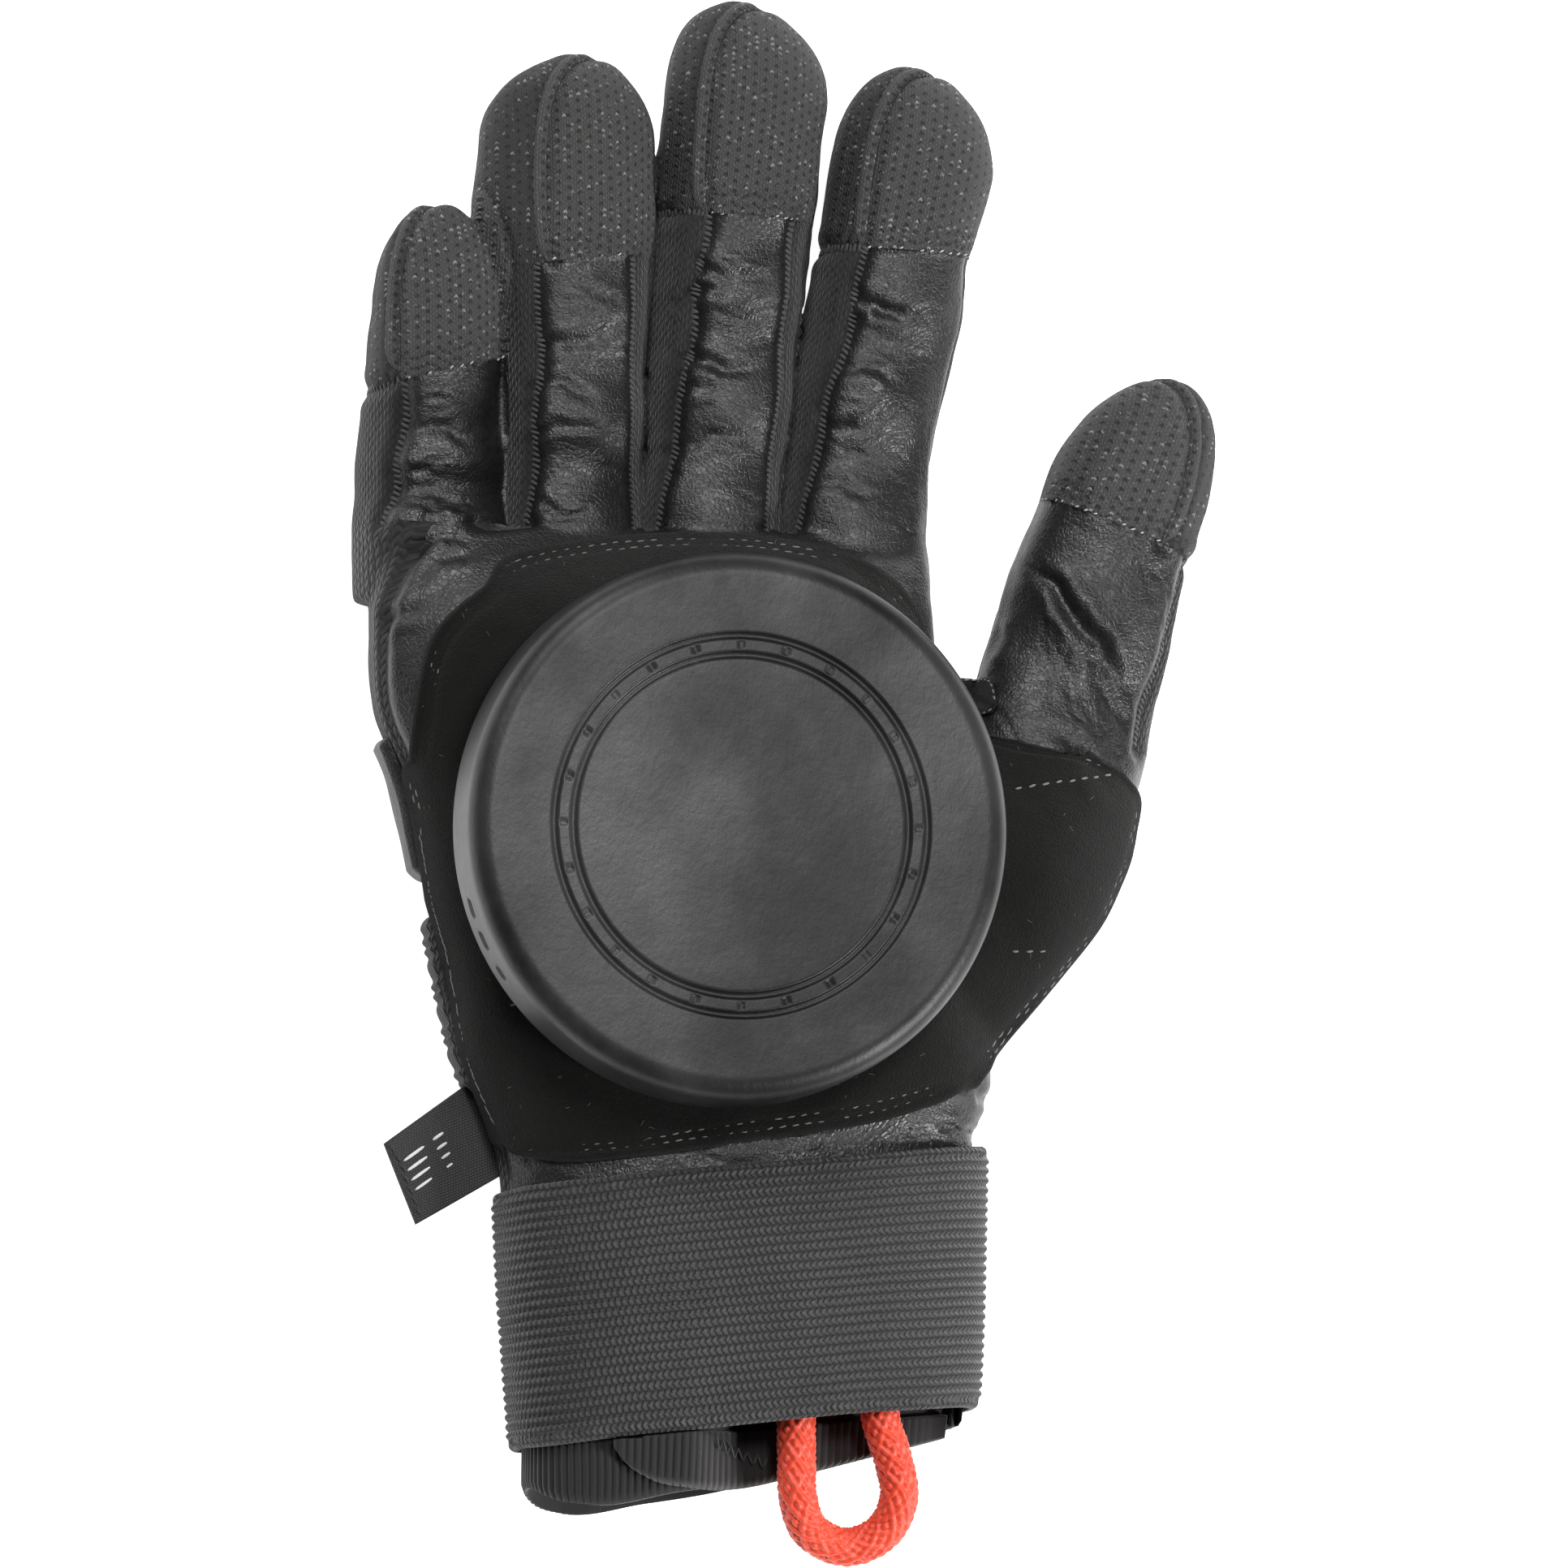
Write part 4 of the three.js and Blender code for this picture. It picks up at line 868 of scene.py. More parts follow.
def smallFolds(settings):
    lot = np.random.default_rng(settings["seed"])
    rows = []
    for digit in digitTables:
        onThumb = digit["name"] == "thumb"
        span, aside, twist = ((0.45, 0.74), 0.15, 50) if onThumb else ((0.16, digit["capAt"] - 0.03), 0, 0)
        for _ in range(settings["smallPerDigit"]):
            at = lot.uniform(*span)
            middle = spotOnDigit(digit, at, lot.uniform(-0.3, 0.3) + aside)[:2]
            turn = math.radians(lot.normal(0, 16) - digit["lean"] - twist)
            half = lot.uniform(3.5, 9) * np.array([math.cos(turn), math.sin(turn)])
            shape = [lot.uniform(*settings[key]) for key in ("smallBow", "smallDepth", "smallWidth")]
            rows.append((middle - half, middle + half, *shape))
    for _ in range(settings["palmCreases"]):  # fine creases across the palm's leather above the strap
        middle = np.array([lot.uniform(-52, 30), lot.uniform(-72, -62)])
        half = lot.uniform(3, 8) * np.array([1.0, lot.uniform(-0.25, 0.25)])
        rows.append((middle - half, middle + half, lot.uniform(-0.6, 0.6), lot.uniform(0.15, 0.5),
                     lot.uniform(0.5, 1.0)))
    return rows


def foldHeight(points, row, settings):
    start, end, bow, depth, width = row
    start = np.array(start, float)
    run = np.array(end, float) - start
    length = np.linalg.norm(run)
    along = ((points - start) @ run) / length ** 2
    across = np.array([-run[1], run[0]]) / length
    wander = 0.45 * np.sin(along * 9 + start[0]) + 0.2 * np.sin(along * 23 + start[1])
    line = bow * (1 - (2 * along - 1) ** 2) + wander
    off = np.abs((points - start) @ across - line) / (settings["widen"] * width)
    reach = fade(along, -0.12, 0.25) * (1 - fade(along, 0.75, 1.12))
    shape = settings["lips"] * np.exp(-(off - 1.7) ** 2 * 1.3) - np.exp(-off ** 2 * 1.6)
    return settings["strength"] * depth * reach * shape


def asSeen(points):  # where the photograph's camera sees each point, in mm from the picture's middle
    x, y, z = points.T
    return np.stack([x * 0.978 + z * 0.208, -x * 0.018 + y * 0.996 + z * 0.085], axis=1)


def noiseAt(points, scale, seed, stretch=(1, 1, 1)):
    spots = points * np.array(stretch) / scale + seed * 17.3
    return np.array([noise.noise(spot) for spot in spots.tolist()])


def ridgesAt(points, scale, seed):  # 0 on plateaus, -1 in sharp valleys that run across the digits
    return np.minimum(np.abs(noiseAt(points, scale, seed, (0.5, 1.7, 1))) * 3.2, 1.0) - 1


def boundaryChains(bm, regions, wanted):  # ordered lines along the edges between two kinds of region
    links = {}
    for edge in bm.edges:
        if len(edge.link_faces) != 2:
            continue
        pair = {int(regions[face.index]) for face in edge.link_faces}
        if len(pair) == 2 and wanted(*sorted(pair)):
            a, b = (v.index for v in edge.verts)
            links.setdefault(a, []).append(b)
            links.setdefault(b, []).append(a)
    chains = []
    left = set(links)
    while left:
        ends = [i for i in left if sum(j in left for j in links[i]) == 1]
        here = min(ends) if ends else min(left)
        chain = [here]
        left.discard(here)
        while True:
            after = [j for j in links[here] if j in left]
            if not after:
                break
            here = after[0]
            chain.append(here)
            left.discard(here)
        if len(chain) > 12:
            chains.append(chain)
    return chains


body.verts.index_update()
body.faces.index_update()
bodyPoints = np.array([v.co for v in body.verts])
bodyNormals = np.array([v.normal for v in body.verts])
seamChains = {"palm": boundaryChains(body, bodyRegions, lambda a, b: (a, b) == (20, 21))}
for kind, parts in (("side", (0, 3)), ("cap", (1, 2)), ("hem", (0, 1)), ("back", (2, 3))):
    seamChains[kind] = boundaryChains(
        body, bodyRegions, lambda a, b: b < 20 and a // 4 == b // 4 and (a % 4, b % 4) == parts)


def makeTree(points):
    tree = KDTree(len(points))
    for index, point in enumerate(points):
        tree.insert(point, index)
    tree.balance()
    return tree


def distanceTo(chains):  # from each point of the skin to the nearest of these lines
    tree = makeTree([bodyPoints[i] for chain in chains for i in chain])
    return np.array([tree.find(point)[2] for point in bodyPoints.tolist()])


def shapeSkin():  # moves the skin along its normals: seams sink, folds and wrinkles break the leather
    seam = distanceTo([chain for kind in ("side", "cap", "back", "palm") for chain in seamChains[kind]])
    height = -handSettings["seamDepth"] * np.exp(-(seam / handSettings["seamWidth"]) ** 2)
    height += 0.3 * np.exp(-((seam - 3) / 1.6) ** 2)
    facesUp = fade(bodyNormals[:, 2], -0.05, 0.35)
    owner = digitOf(bodyPoints)
    soft = np.zeros(len(bodyPoints))  # where leather shows: away from caps and knit
    for index, digit in enumerate(digitTables):
        mine = owner == index
        along, _ = alongAndSide(digit, bodyPoints)
        edge = digit["capAt"] * digit["length"]
        soft[mine] = (1 - fade(along, edge - 4, edge))[mine]
    soft[owner == 5] = 1
    soft *= facesUp
    folds = np.zeros(len(bodyPoints))
    seen = asSeen(bodyPoints)
    for row in foldSettings["rows"]:
        folds += foldHeight(seen, row, foldSettings)
    for row in smallFolds(foldSettings):
        folds += foldHeight(bodyPoints[:, :2], row, foldSettings)
    height += folds * soft
    hem = distanceTo(seamChains["hem"])
    shares = np.sort(fingerShares(bodyPoints), axis=0)
    free = fade(shares[1] - shares[0], 0.01, 0.07)  # away from where two fingers touch
    for index, digit in enumerate(digitTables):
        along, _ = alongAndSide(digit, bodyPoints)
        capSide = (owner == index) & beyond(bodyPoints, planesOf(digit)["cap"])
        rows = sum(np.exp(-((hem - row) / 0.4) ** 2) for row in handSettings["hemRows"])
        height += capSide * facesUp * free * (0.5 - 0.4 * rows)
        edge = digit["capAt"] * digit["length"]
        window = fade(along, 12, 22) * (1 - fade(along, edge + 4, edge + 14))
        height += (owner == index) * (index in (1, 2)) * window * (1 - facesUp) * free * 1.4
    lumps = noiseAt(bodyPoints, 13, 1) * 0.7 + noiseAt(bodyPoints, 6, 2, (0.7, 1.5, 1)) * 0.12
    wrinkles = ridgesAt(bodyPoints, 8, 3) * 0.08 + ridgesAt(bodyPoints, 3.4, 4) * 0.05
    height += lumps + wrinkles * soft
    moved = bodyPoints + bodyNormals * height[:, None]
    onFloor = bodyPoints[:, 2] < handSettings["floorZone"]
    moved[:, 2] = np.where(onFloor, bodyPoints[:, 2], np.maximum(moved[:, 2], 0))
    for vert, place in zip(body.verts, moved):
        vert.co = place
    body.normal_update()
    return moved


bodyPoints = shapeSkin()
bodyNormals = np.array([v.normal for v in body.verts])
bodyTree = BVHTree.FromBMesh(body)
normalTree = makeTree(bodyPoints)
say("folds and seams")


def clothAt(points, regionName):  # the cloth's own grid, in mm: round the digit and along it
    for digit in digitTables:
        if regionName.startswith(digit["name"]):
            along, sideways = alongAndSide(digit, points)
            rise = points[:, 2] - 0.5 * digit["depth"]
            turn = np.arctan2(sideways - 0.01, rise)
            outward = (np.hypot(sideways, rise) - digit["width"] / 2) * np.clip(turn / 0.8, -1, 1)
            return np.stack([turn * handSettings["clothRound"] + outward * 0.9,
                             along * handSettings["clothAlong"]], axis=1)
    turn = np.arctan2(points[:, 0] - palmTable["x"], points[:, 2] - 17)
    return np.stack([turn * handSettings["palmRound"], points[:, 1]], axis=1)


# the tip panels beyond each cap seam take the darker copy of the cap knit: painted shade
regionFinish = {
    "front": ("leather", "leather"), "cap": ("cap", "cap_fabric"), "tip": ("shadedCap", "cap_fabric"),
    "sleeve": ("knit", "knit"), "leather": ("leather", "leather"), "back": ("knit", "knit"),
}


def makeRegion(index, name):
    chosen = [face for face in body.faces if bodyRegions[face.index] == index]
    used = sorted({v.index for face in chosen for v in face.verts})
    order = {old: new for new, old in enumerate(used)}
    points = bodyPoints[used]
    faces = [tuple(order[v.index] for v in face.verts) for face in chosen]
    finish, slotName = regionFinish[name.split("_")[1]]
    obj = newObject(name + "Skin", points, faces, clothAt(points, name))
    dress(obj, finishes[finish], slotName, name)


for index, name in enumerate(regionNames):
    makeRegion(index, name)
say("hand regions")


# Stitches: small rounded bars laid on the surface, many in one mesh
stitchSettings = {
    "rings": [(-0.5, 0.25), (-0.4, 0.8), (-0.15, 1.0), (0.15, 1.0), (0.4, 0.8), (0.5, 0.25)],
    "flat": 0.75,
    "endDip": 0.6,  # how far the two ends turn down, in thicknesses
}


def stitchMesh(name, stitches, finish, slotName, sides=6):
    # a stitch is its middle, direction, normal, length and thickness
    rings = stitchSettings["rings"]
    oneStitch = gridFaces(len(rings), sides) + endFaces(len(rings), sides)
    points, faces, uvs = [], [], []
    for middle, direction, normal, length, thickness in stitches:
        direction = unit(direction)
        across = unit(np.cross(normal, direction))
        up = np.cross(direction, across)
        faces += raised(oneStitch, len(points))
        for at, share in rings:
            radius = thickness / 2 * share
            dip = stitchSettings["endDip"] * thickness * abs(at)
            for turn in allRound(sides):
                points.append(middle + direction * at * length + across * math.cos(turn) * radius
                              + up * (math.sin(turn) * radius * stitchSettings["flat"] - dip))
                uvs.append((turn * 2, at * length))
    dress(newObject(name, points, faces, uvs), finishes[finish], slotName)


def normalsAt(points):
    return np.array([bodyNormals[normalTree.find(point)[1]] for point in points.tolist()])


def softLine(line, rounds=6):
    line = np.array(line, float)
    for _ in range(rounds):
        line[1:-1] = line[1:-1] * 0.5 + (line[:-2] + line[2:]) * 0.25
    return line


def dashesAlong(line, normals, pitch, length, thickness, seed, lean=0.12, lift=0.12, skip=0.04):
    lot = np.random.default_rng(seed)
    count = max(4, int(lengthOf(line) / pitch))
    spots = evenly(np.hstack([line, normals]), count)
    made = []
    for i in range(count - 1):
        if lot.random() < skip:
            continue
        run = spots[i + 1, :3] - spots[i, :3]
        normal = unit(spots[i, 3:])
        across = np.cross(normal, run)
        middle = spots[i, :3] + run / 2 + normal * lift + across * lot.normal(0, 0.05)
        direction = run + across * (lean + lot.normal(0, 0.08))
        made.append((middle, direction, normal, length * lot.uniform(0.85, 1.1), thickness))
    return made


# Serged seams: overlock threads across both edges of each finger's leather
sergingSettings = {
    "width": 1.9, "pitch": 0.95, "thickness": 0.62, "lift": 0.22, "lean": 0.35,
    "shortest": 12,  # a seam shorter than this gets no threads
    "touching": 0.08,  # fingers nearer than this share of a width hide the seam between them
    "seed": 5,
}


def makeSerging(settings):
    threads = []
    lot = np.random.default_rng(settings["seed"])
    for kind in ("side", "back"):
        for chain in seamChains[kind]:
            line = softLine(bodyPoints[chain])
            if lengthOf(line) < settings["shortest"]:
                continue
            normals = normalsAt(line)
            count = int(lengthOf(line) / settings["pitch"])
            spots = evenly(np.hstack([line, normals]), max(count, 5))
            shares = np.sort(fingerShares(spots[:, :3]), axis=0)
            for i in range(len(spots) - 1):
                above = spots[i, 1] > handSettings["splitY"] + 12
                if above and shares[1, i] - shares[0, i] < settings["touching"]:
                    continue
                run = spots[i + 1, :3] - spots[i, :3]
                normal = unit(spots[i, 3:])
                across = unit(np.cross(normal, run))
                lean = run * (settings["lean"] + lot.normal(0, 0.1))
                middle = spots[i, :3] + normal * settings["lift"]
                threads.append((middle, across + lean, normal, settings["width"] * lot.uniform(0.85, 1.1),
                                settings["thickness"]))
    stitchMesh("sergingThreads", threads, "serging", "knit")


def dropOnBody(x, y, lowest):
    hit = bodyTree.ray_cast(Vector((x, y, 90)), Vector((0, 0, -1)))[0]
    return None if hit is None or hit.z < lowest else hit.z


def makeHems():  # two rows of stitches above each cap's lower edge, and loose threads along it
    rows, flecks = [], []
    for index, chain in enumerate(seamChains["hem"]):
        line = softLine(bodyPoints[chain], 3)
        normals = normalsAt(line)
        digit = min(digitTables, key=lambda one: abs(alongAndSide(one, line[:1])[1][0]))
        lean = math.radians(digit["lean"])
        up = np.array([math.sin(lean), math.cos(lean), 0])
        for lift, seed in zip(handSettings["hemRows"], (20, 40)):
            row = line + up * lift
            row[:, 2] = [dropOnBody(x, y, 0) or z for x, y, z in row]
            rows += dashesAlong(row, normalsAt(row), 1.7, 1.25, 0.75, seed + index, 0.05, 0.05)
        flecks += dashesAlong(line + up * 0.3 + normals * 0.35, normals, 1.7, 0.8, 0.32, 60 + index,
                              lean=0.6, lift=0.15, skip=0.45)
    stitchMesh("capStitches", rows, "darkStitch", "cap_fabric")
    stitchMesh("capFlecks", flecks, "lint", "cap_fabric")


capSeamSettings = {"radius": 1.35, "aside": 1.25, "step": 0.8, "columns": 12, "shortest": 8}


def makeCapSeams(settings):  # the raised fold beside each cap's groove
    points, faces, uvs = [], [], []
    for chain in seamChains["cap"]:
        line = softLine(bodyPoints[chain], 5)
        if lengthOf(line) < settings["shortest"]:
            continue
        normals = softLine(normalsAt(line), 12)
        both = evenly(np.hstack([line, normals]), max(8, int(lengthOf(line) / settings["step"])))
        path, up = both[:, :3] + both[:, 3:] * 0.12, both[:, 3:]
        side = np.cross(unit(np.gradient(path, axis=0)), up)
        onThumb = line[:, 0].mean() > 40
        side *= math.copysign(1, side[len(side) // 3, 0]) * (1 if onThumb else -1)
        faces += raised(gridFaces(len(path), settings["columns"]), len(points))
        fromEnd = np.minimum(np.arange(len(path)), np.arange(len(path))[::-1])
        for step, thin in enumerate(np.minimum(1, fromEnd / 4 + 0.15)):
            knot = 0.95 + 0.05 * math.sin(step * 1.7)
            for column, turn in enumerate(allRound(settings["columns"])):
                aside = (math.cos(turn) * settings["radius"] + settings["aside"]) * thin
                points.append(path[step] + side[step] * aside + up[step] * math.sin(turn) * knot * thin)
                uvs.append((column * 0.7, step * settings["step"]))
    dress(newObject("capSeams", points, faces, uvs), finishes["cap"], "cap_fabric")


makeSerging(sergingSettings)
makeHems()
makeCapSeams(capSeamSettings)
say("finger seams")


# Suede patch: a napped sheet over the palm and the thumb mound
suedeSettings = {
    "outline": [(-0.36, 0.95), (-0.18, 0.98), (0.02, 0.99), (0.17, 0.98), (0.28, 0.955), (0.355, 0.91),
                (0.385, 0.86), (0.42, 0.79), (0.485, 0.735), (0.58, 0.705), (0.69, 0.69), (0.755, 0.66),
                (0.785, 0.62), (0.755, 0.535), (0.705, 0.465), (0.63, 0.39), (0.515, 0.28), (0.47, 0.23),
                (0.3, 0.178), (0.05, 0.142), (-0.18, 0.115), (-0.29, 0.115), (-0.37, 0.15), (-0.43, 0.26),
                (-0.47, 0.42), (-0.505, 0.55), (-0.52, 0.71), (-0.5, 0.82), (-0.46, 0.87), (-0.39, 0.915)],
    "thickness": 1.35,
    "lowest": 20.5,
    "middle": (-12, -14),
    "rings": 64,
    "columns": 360,
    "stitchInset": (1.6, 3.1),
    "shortRows": [((34, -3), (53, 0)), ((33, -32), (45, -31)), ((-61, -43), (-52, -42.5))],
    "rowPoints": 14,
    "lint": 60,
    "seed": 3,
}


def suedeSurface(settings):
    corners = [(palmTable["x"] + x * palmTable["width"], palmTable["y"] + y * palmTable["length"], 0)
               for x, y in settings["outline"]]
    outline = splinePoints(corners, settings["columns"] + 1, closed=True)[:-1, :2]
    middle = np.array(settings["middle"], float)
    edge = []
    for spot in outline:  # draws the outline in to where the hand still carries the sheet
        share = 1.0
        while share > 0.5 and dropOnBody(*(middle + (spot - middle) * share), settings["lowest"]) is None:
            share -= 0.004
        edge.append(middle + (spot - middle) * share)
    edge = np.array(edge)
    for _ in range(5):
        edge = edge * 0.5 + (np.roll(edge, 1, axis=0) + np.roll(edge, -1, axis=0)) * 0.25
    grid = np.zeros((settings["rings"], settings["columns"], 3))
    for ring in range(settings["rings"]):
        share = ((ring + 1) / settings["rings"]) ** 0.62
        spots = middle + (edge - middle) * share
        heights = [max(dropOnBody(x, y, 0) or 0, settings["lowest"] - 1) for x, y in spots]
        grid[ring, :, :2] = spots
        grid[ring, :, 2] = heights
    for _ in range(6):
        inner = grid[1:-1, :, 2]
        grid[1:-1, :, 2] = (inner * 2 + grid[:-2, :, 2] + grid[2:, :, 2] + np.roll(inner, 1, axis=1)
                            + np.roll(inner, -1, axis=1)) / 6
    return grid


def gridNormals(grid):
    around = np.roll(grid, -1, axis=1) - np.roll(grid, 1, axis=1)
    normals = unit(np.cross(np.gradient(grid, axis=0), around))
    return normals * np.where(normals[:, :, 2:3] < 0, -1, 1)


def makeSuede(settings):
    base = suedeSurface(settings)
    up = gridNormals(base)
    rings, columns = settings["rings"], settings["columns"]
    outward = np.arange(rings)[:, None] / (rings - 1)
    wave = noiseAt(base.reshape(-1, 3), 16, 7).reshape(rings, columns) * 0.35
    # the rows of stitches press the sheet down and its cut edge rolls over
    inset = np.linalg.norm(base[-1][None] - base, axis=2)
    press = -0.32 * sum(np.exp(-((inset - offset) / 0.5) ** 2) for offset in settings["stitchInset"])
    bead = 0.25 * np.exp(-((inset - 0.9) / 0.7) ** 2)
    thick = settings["thickness"] + wave * (1 - outward ** 3) + press + bead
    top = base + up * thick[:, :, None]
    away = unit(base[-1] - base[-2])
    fray = noiseAt(base[-1], 1.2, 9)[:, None] * 0.12
    edgeRings = [top[-1] + away * (0.3 + fray) - up[-1] * 0.35,
                 base[-1] + away * (0.38 + fray) + up[-1] * 0.45,
                 base[-1] + away * 0.15 - up[-1] * 0.1]
    points = np.concatenate([top.reshape(-1, 3)] + edgeRings + [top[:1].mean(axis=1)])
    faces = gridFaces(rings + len(edgeRings), columns)
    faces += [(len(points) - 1, i, (i + 1) % columns) for i in range(columns)]
    dress(newObject("suedeSheet", points, faces, points[:, :2]), finishes["suede"], "suede", "suede_patch")
    stitches = []
    for row, offset in enumerate(settings["stitchInset"]):
        nearest = np.argmin(np.abs(inset - offset), axis=0)
        closed = np.append(np.arange(columns), 0)
        line, normals = (kind[nearest[closed], closed] for kind in (top, up))
        stitches += dashesAlong(softLine(line, 10), normals, 2.3, 1.5, 0.33, 71 + row, 0.1, 0.02, 0.1)
    for row, (start, end) in enumerate(settings["shortRows"]):
        spots = np.linspace(start, end, settings["rowPoints"])
        heights = [(dropOnBody(x, y, 0) or 0) + settings["thickness"] for x, y in spots]
        line = np.column_stack([spots, heights])
        stitches += dashesAlong(line, np.tile(upright, (len(line), 1)), 2.1, 1.2, 0.4, 90 + row, 0.1, 0.2)
    stitchMesh("suedeStitches", stitches, "stitch", "suede")
    lot = np.random.default_rng(settings["seed"])
    lint = []
    for _ in range(settings["lint"]):
        ring, column = lot.integers(rings - 22, rings - 1), lot.integers(0, columns)
        turn = lot.uniform(0, math.pi)
        lint.append((top[ring, column] + up[ring, column] * 0.1,
                     np.array([math.cos(turn), math.sin(turn), lot.uniform(-0.2, 0.3)]), up[ring, column],
                     lot.uniform(0.5, 1.5), 0.06))
    stitchMesh("suedeLint", lint, "stitch", "suede", 4)


makeSuede(suedeSettings)
say("suede")


# Puck: turned in one piece, with two rings and short ticks cut in its face
puckSettings = {
    "radius": 48.5, "rim": 4.0, "foot": 1.2, "sides": 400,
    "rings": (30.0, 33.4), "ringHalf": 0.55, "ringDepth": 0.6,
    "ticks": 24, "tickFrom": 31.0, "tickTo": 32.4, "tickHalf": 0.35, "tickDepth": 0.35,
    "slits": [(196, 199), (203, 206.5), (211, 213.5)],  # degrees round the puck's side
    "slitLow": 5.0, "slitHigh": 6.6, "slitDepth": 0.9,
    "taper": 0.25,  # how much narrower the side is under the rim
}


def makePuck(settings):
    bottom, top = heightsOf("puck")
    radius, rim, foot, taper = (settings[key] for key in ("radius", "rim", "foot", "taper"))
    innerRing, outerRing = settings["rings"]
    profile = [(radius * share, bottom) for share in (0.02, 0.5, 0.9)]
    profile += [(radius - foot + foot * math.sin(t), bottom + foot - foot * math.cos(t))
                for t in np.linspace(0, math.pi / 2, 6)]
    profile += [(radius - taper * (z - bottom - foot) / 12, z)
                for z in np.linspace(bottom + foot + 0.4, top - rim - 0.3, 14)]
    profile += [(radius - rim - taper + rim * math.cos(t), top - rim + rim * math.sin(t))
                for t in np.linspace(0, math.pi / 2, 16)]
    profile += [(r, top) for r in np.linspace(radius - rim - 0.6, outerRing + 1, 9)]
    for r in np.arange(outerRing + 0.8, innerRing - 0.9, -0.2):
        sink = max(math.exp(-((r - ring) / settings["ringHalf"]) ** 4) for ring in settings["rings"])
        profile.append((r, top - settings["ringDepth"] * sink))
    profile += [(r, top) for r in np.linspace(innerRing - 1.2, 0.3, 14)]
    sides, halfTick = settings["sides"], 180 / settings["ticks"]
    points, uvs = [], []
    for r, z in profile:
        for side in range(sides):
            turn = 360 * side / sides
            outward, height = r, z
            if settings["tickFrom"] <= r <= settings["tickTo"] and z > top - 1:
                off = abs((turn + halfTick) % (2 * halfTick) - halfTick)
                if math.radians(off) * r < settings["tickHalf"]:
                    height -= settings["tickDepth"]
            if r > radius - 1 and settings["slitLow"] < z - bottom < settings["slitHigh"]:
                outward -= settings["slitDepth"] * any(start < turn < end for start, end in settings["slits"])
            points.append((puckSpot[0] + outward * math.cos(math.radians(turn)),
                           puckSpot[1] + outward * math.sin(math.radians(turn)), height))
            uvs.append((turn, r))
    faces = gridFaces(len(profile), sides)
    first = len(points)
    points += [(*puckSpot, bottom), (*puckSpot, top)]
    uvs += [(0, 0), (0, 0)]
    last = (len(profile) - 1) * sides
    for side in range(sides):
        after = (side + 1) % sides
        faces.append((first, after, side))
        faces.append((first + 1, last + side, last + after))
    dress(newObject("turnedPuck", points, faces, uvs), finishes["puck"], "puck_plastic", "puck")


hookSettings = {"sides": 360, "ragged": 0.35, "pile": 1100, "pileThickness": 0.12, "seed": 8}


def makeHookDisc(settings):
    bottom, top = heightsOf("puck_hook_disc")
    low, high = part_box("puck_hook_disc")
    radius, sides = (high[0] - low[0]) * 500, settings["sides"]
    profile = [(1, bottom), (radius * 0.8, bottom), (radius - 0.2, bottom + 0.1), (radius, bottom + 0.6),
               (radius + 0.1, (bottom + top) / 2), (radius, top - 0.5), (radius - 0.3, top), (1, top)]
    ring = allRound(sides)
    rings = []
    for r, z in profile:
        ragged = [noise.noise(Vector((math.cos(t) * 30, math.sin(t) * 30, z))) for t in ring]
        reach = r + settings["ragged"] * np.array(ragged) * (r > radius * 0.9)
        rings.append(np.stack([puckSpot[0] + reach * np.cos(ring), puckSpot[1] + reach * np.sin(ring),
                               np.full(sides, z)], axis=1))
    points = np.concatenate(rings)
    faces = gridFaces(len(profile), sides) + endFaces(len(profile), sides)
    dress(newObject("hookDisc", points, faces, points[:, :2]), finishes["hook"], "hook_fabric",
          "puck_hook_disc")
    lot = np.random.default_rng(settings["seed"])
    pile = []
    for _ in range(settings["pile"]):  # fibres that stick out round the edge
        turn = lot.uniform(0, 2 * math.pi)
        out = np.array([math.cos(turn), math.sin(turn), 0])
        place = np.array([*puckSpot, 0]) + out * (radius + 0.2) + np.array([0, 0, lot.uniform(bottom, top)])
        direction = out + lot.normal(0, 0.5, 3)
        pile.append((place, direction, upright, lot.uniform(0.5, 1.5), settings["pileThickness"]))
    stitchMesh("hookPile", pile, "darkStitch", "hook_fabric", 4)


makePuck(puckSettings)
makeHookDisc(hookSettings)
say("puck")


# Wrist: the sections that the strap, the cuff and its flap follow
wristTable = {
    "x": -12.6, "y": -60, "length": 74, "width": 83, "depth": 34.6, "rounding": 2.5,
    "rows": [  # at, left, right, depth, base
        (0.0, -0.52, 0.51, 1.02, 0.075), (0.2, -0.5, 0.505, 1.02, 0.075), (0.48, -0.485, 0.5, 1.01, 0.075),
        (0.62, -0.475, 0.495, 1.0, 0.075), (0.75, -0.465, 0.485, 0.98, 0.075),
        (0.875, -0.46, 0.475, 0.93, 0.075), (1.0, -0.455, 0.46, 0.85, 0.08),
    ],
    "press": {"x": 4.5, "half": 24, "y": -98, "run": 7, "fade": 0.3, "depth": 12},
}


def wristPoints(y, turns, grow, pressed=0.0, table=wristTable):  # y may differ for each turn
    at = np.clip((table["y"] - y) / table["length"], 0, 1)
    across, rise = rounded(turns, table["rounding"])
    x, z = sectionOf(table, at, across, rise, grow)
    press = table["press"]
    off = np.abs(x - press["x"]) / press["half"]
    begun = fade(press["y"] - y, 0, press["run"]) * (1 - press["fade"] * fade(at, 0.75, 1))
    z -= np.where(rise > 0, pressed * begun * (1 - fade(off, 0.72, 1.25)), 0)
    return np.stack([x, y, np.maximum(z, 0)], axis=1)


def evenTurns(count, y, grow):  # turns that land evenly round the section, from its underside
    fine = np.linspace(-math.pi / 2, 1.5 * math.pi, 2000)
    runs = runsOf(wristPoints(np.full(2000, float(y)), fine, grow))
    return np.interp(np.linspace(0, runs[-1], count, endpoint=False), runs, fine), runs[-1]


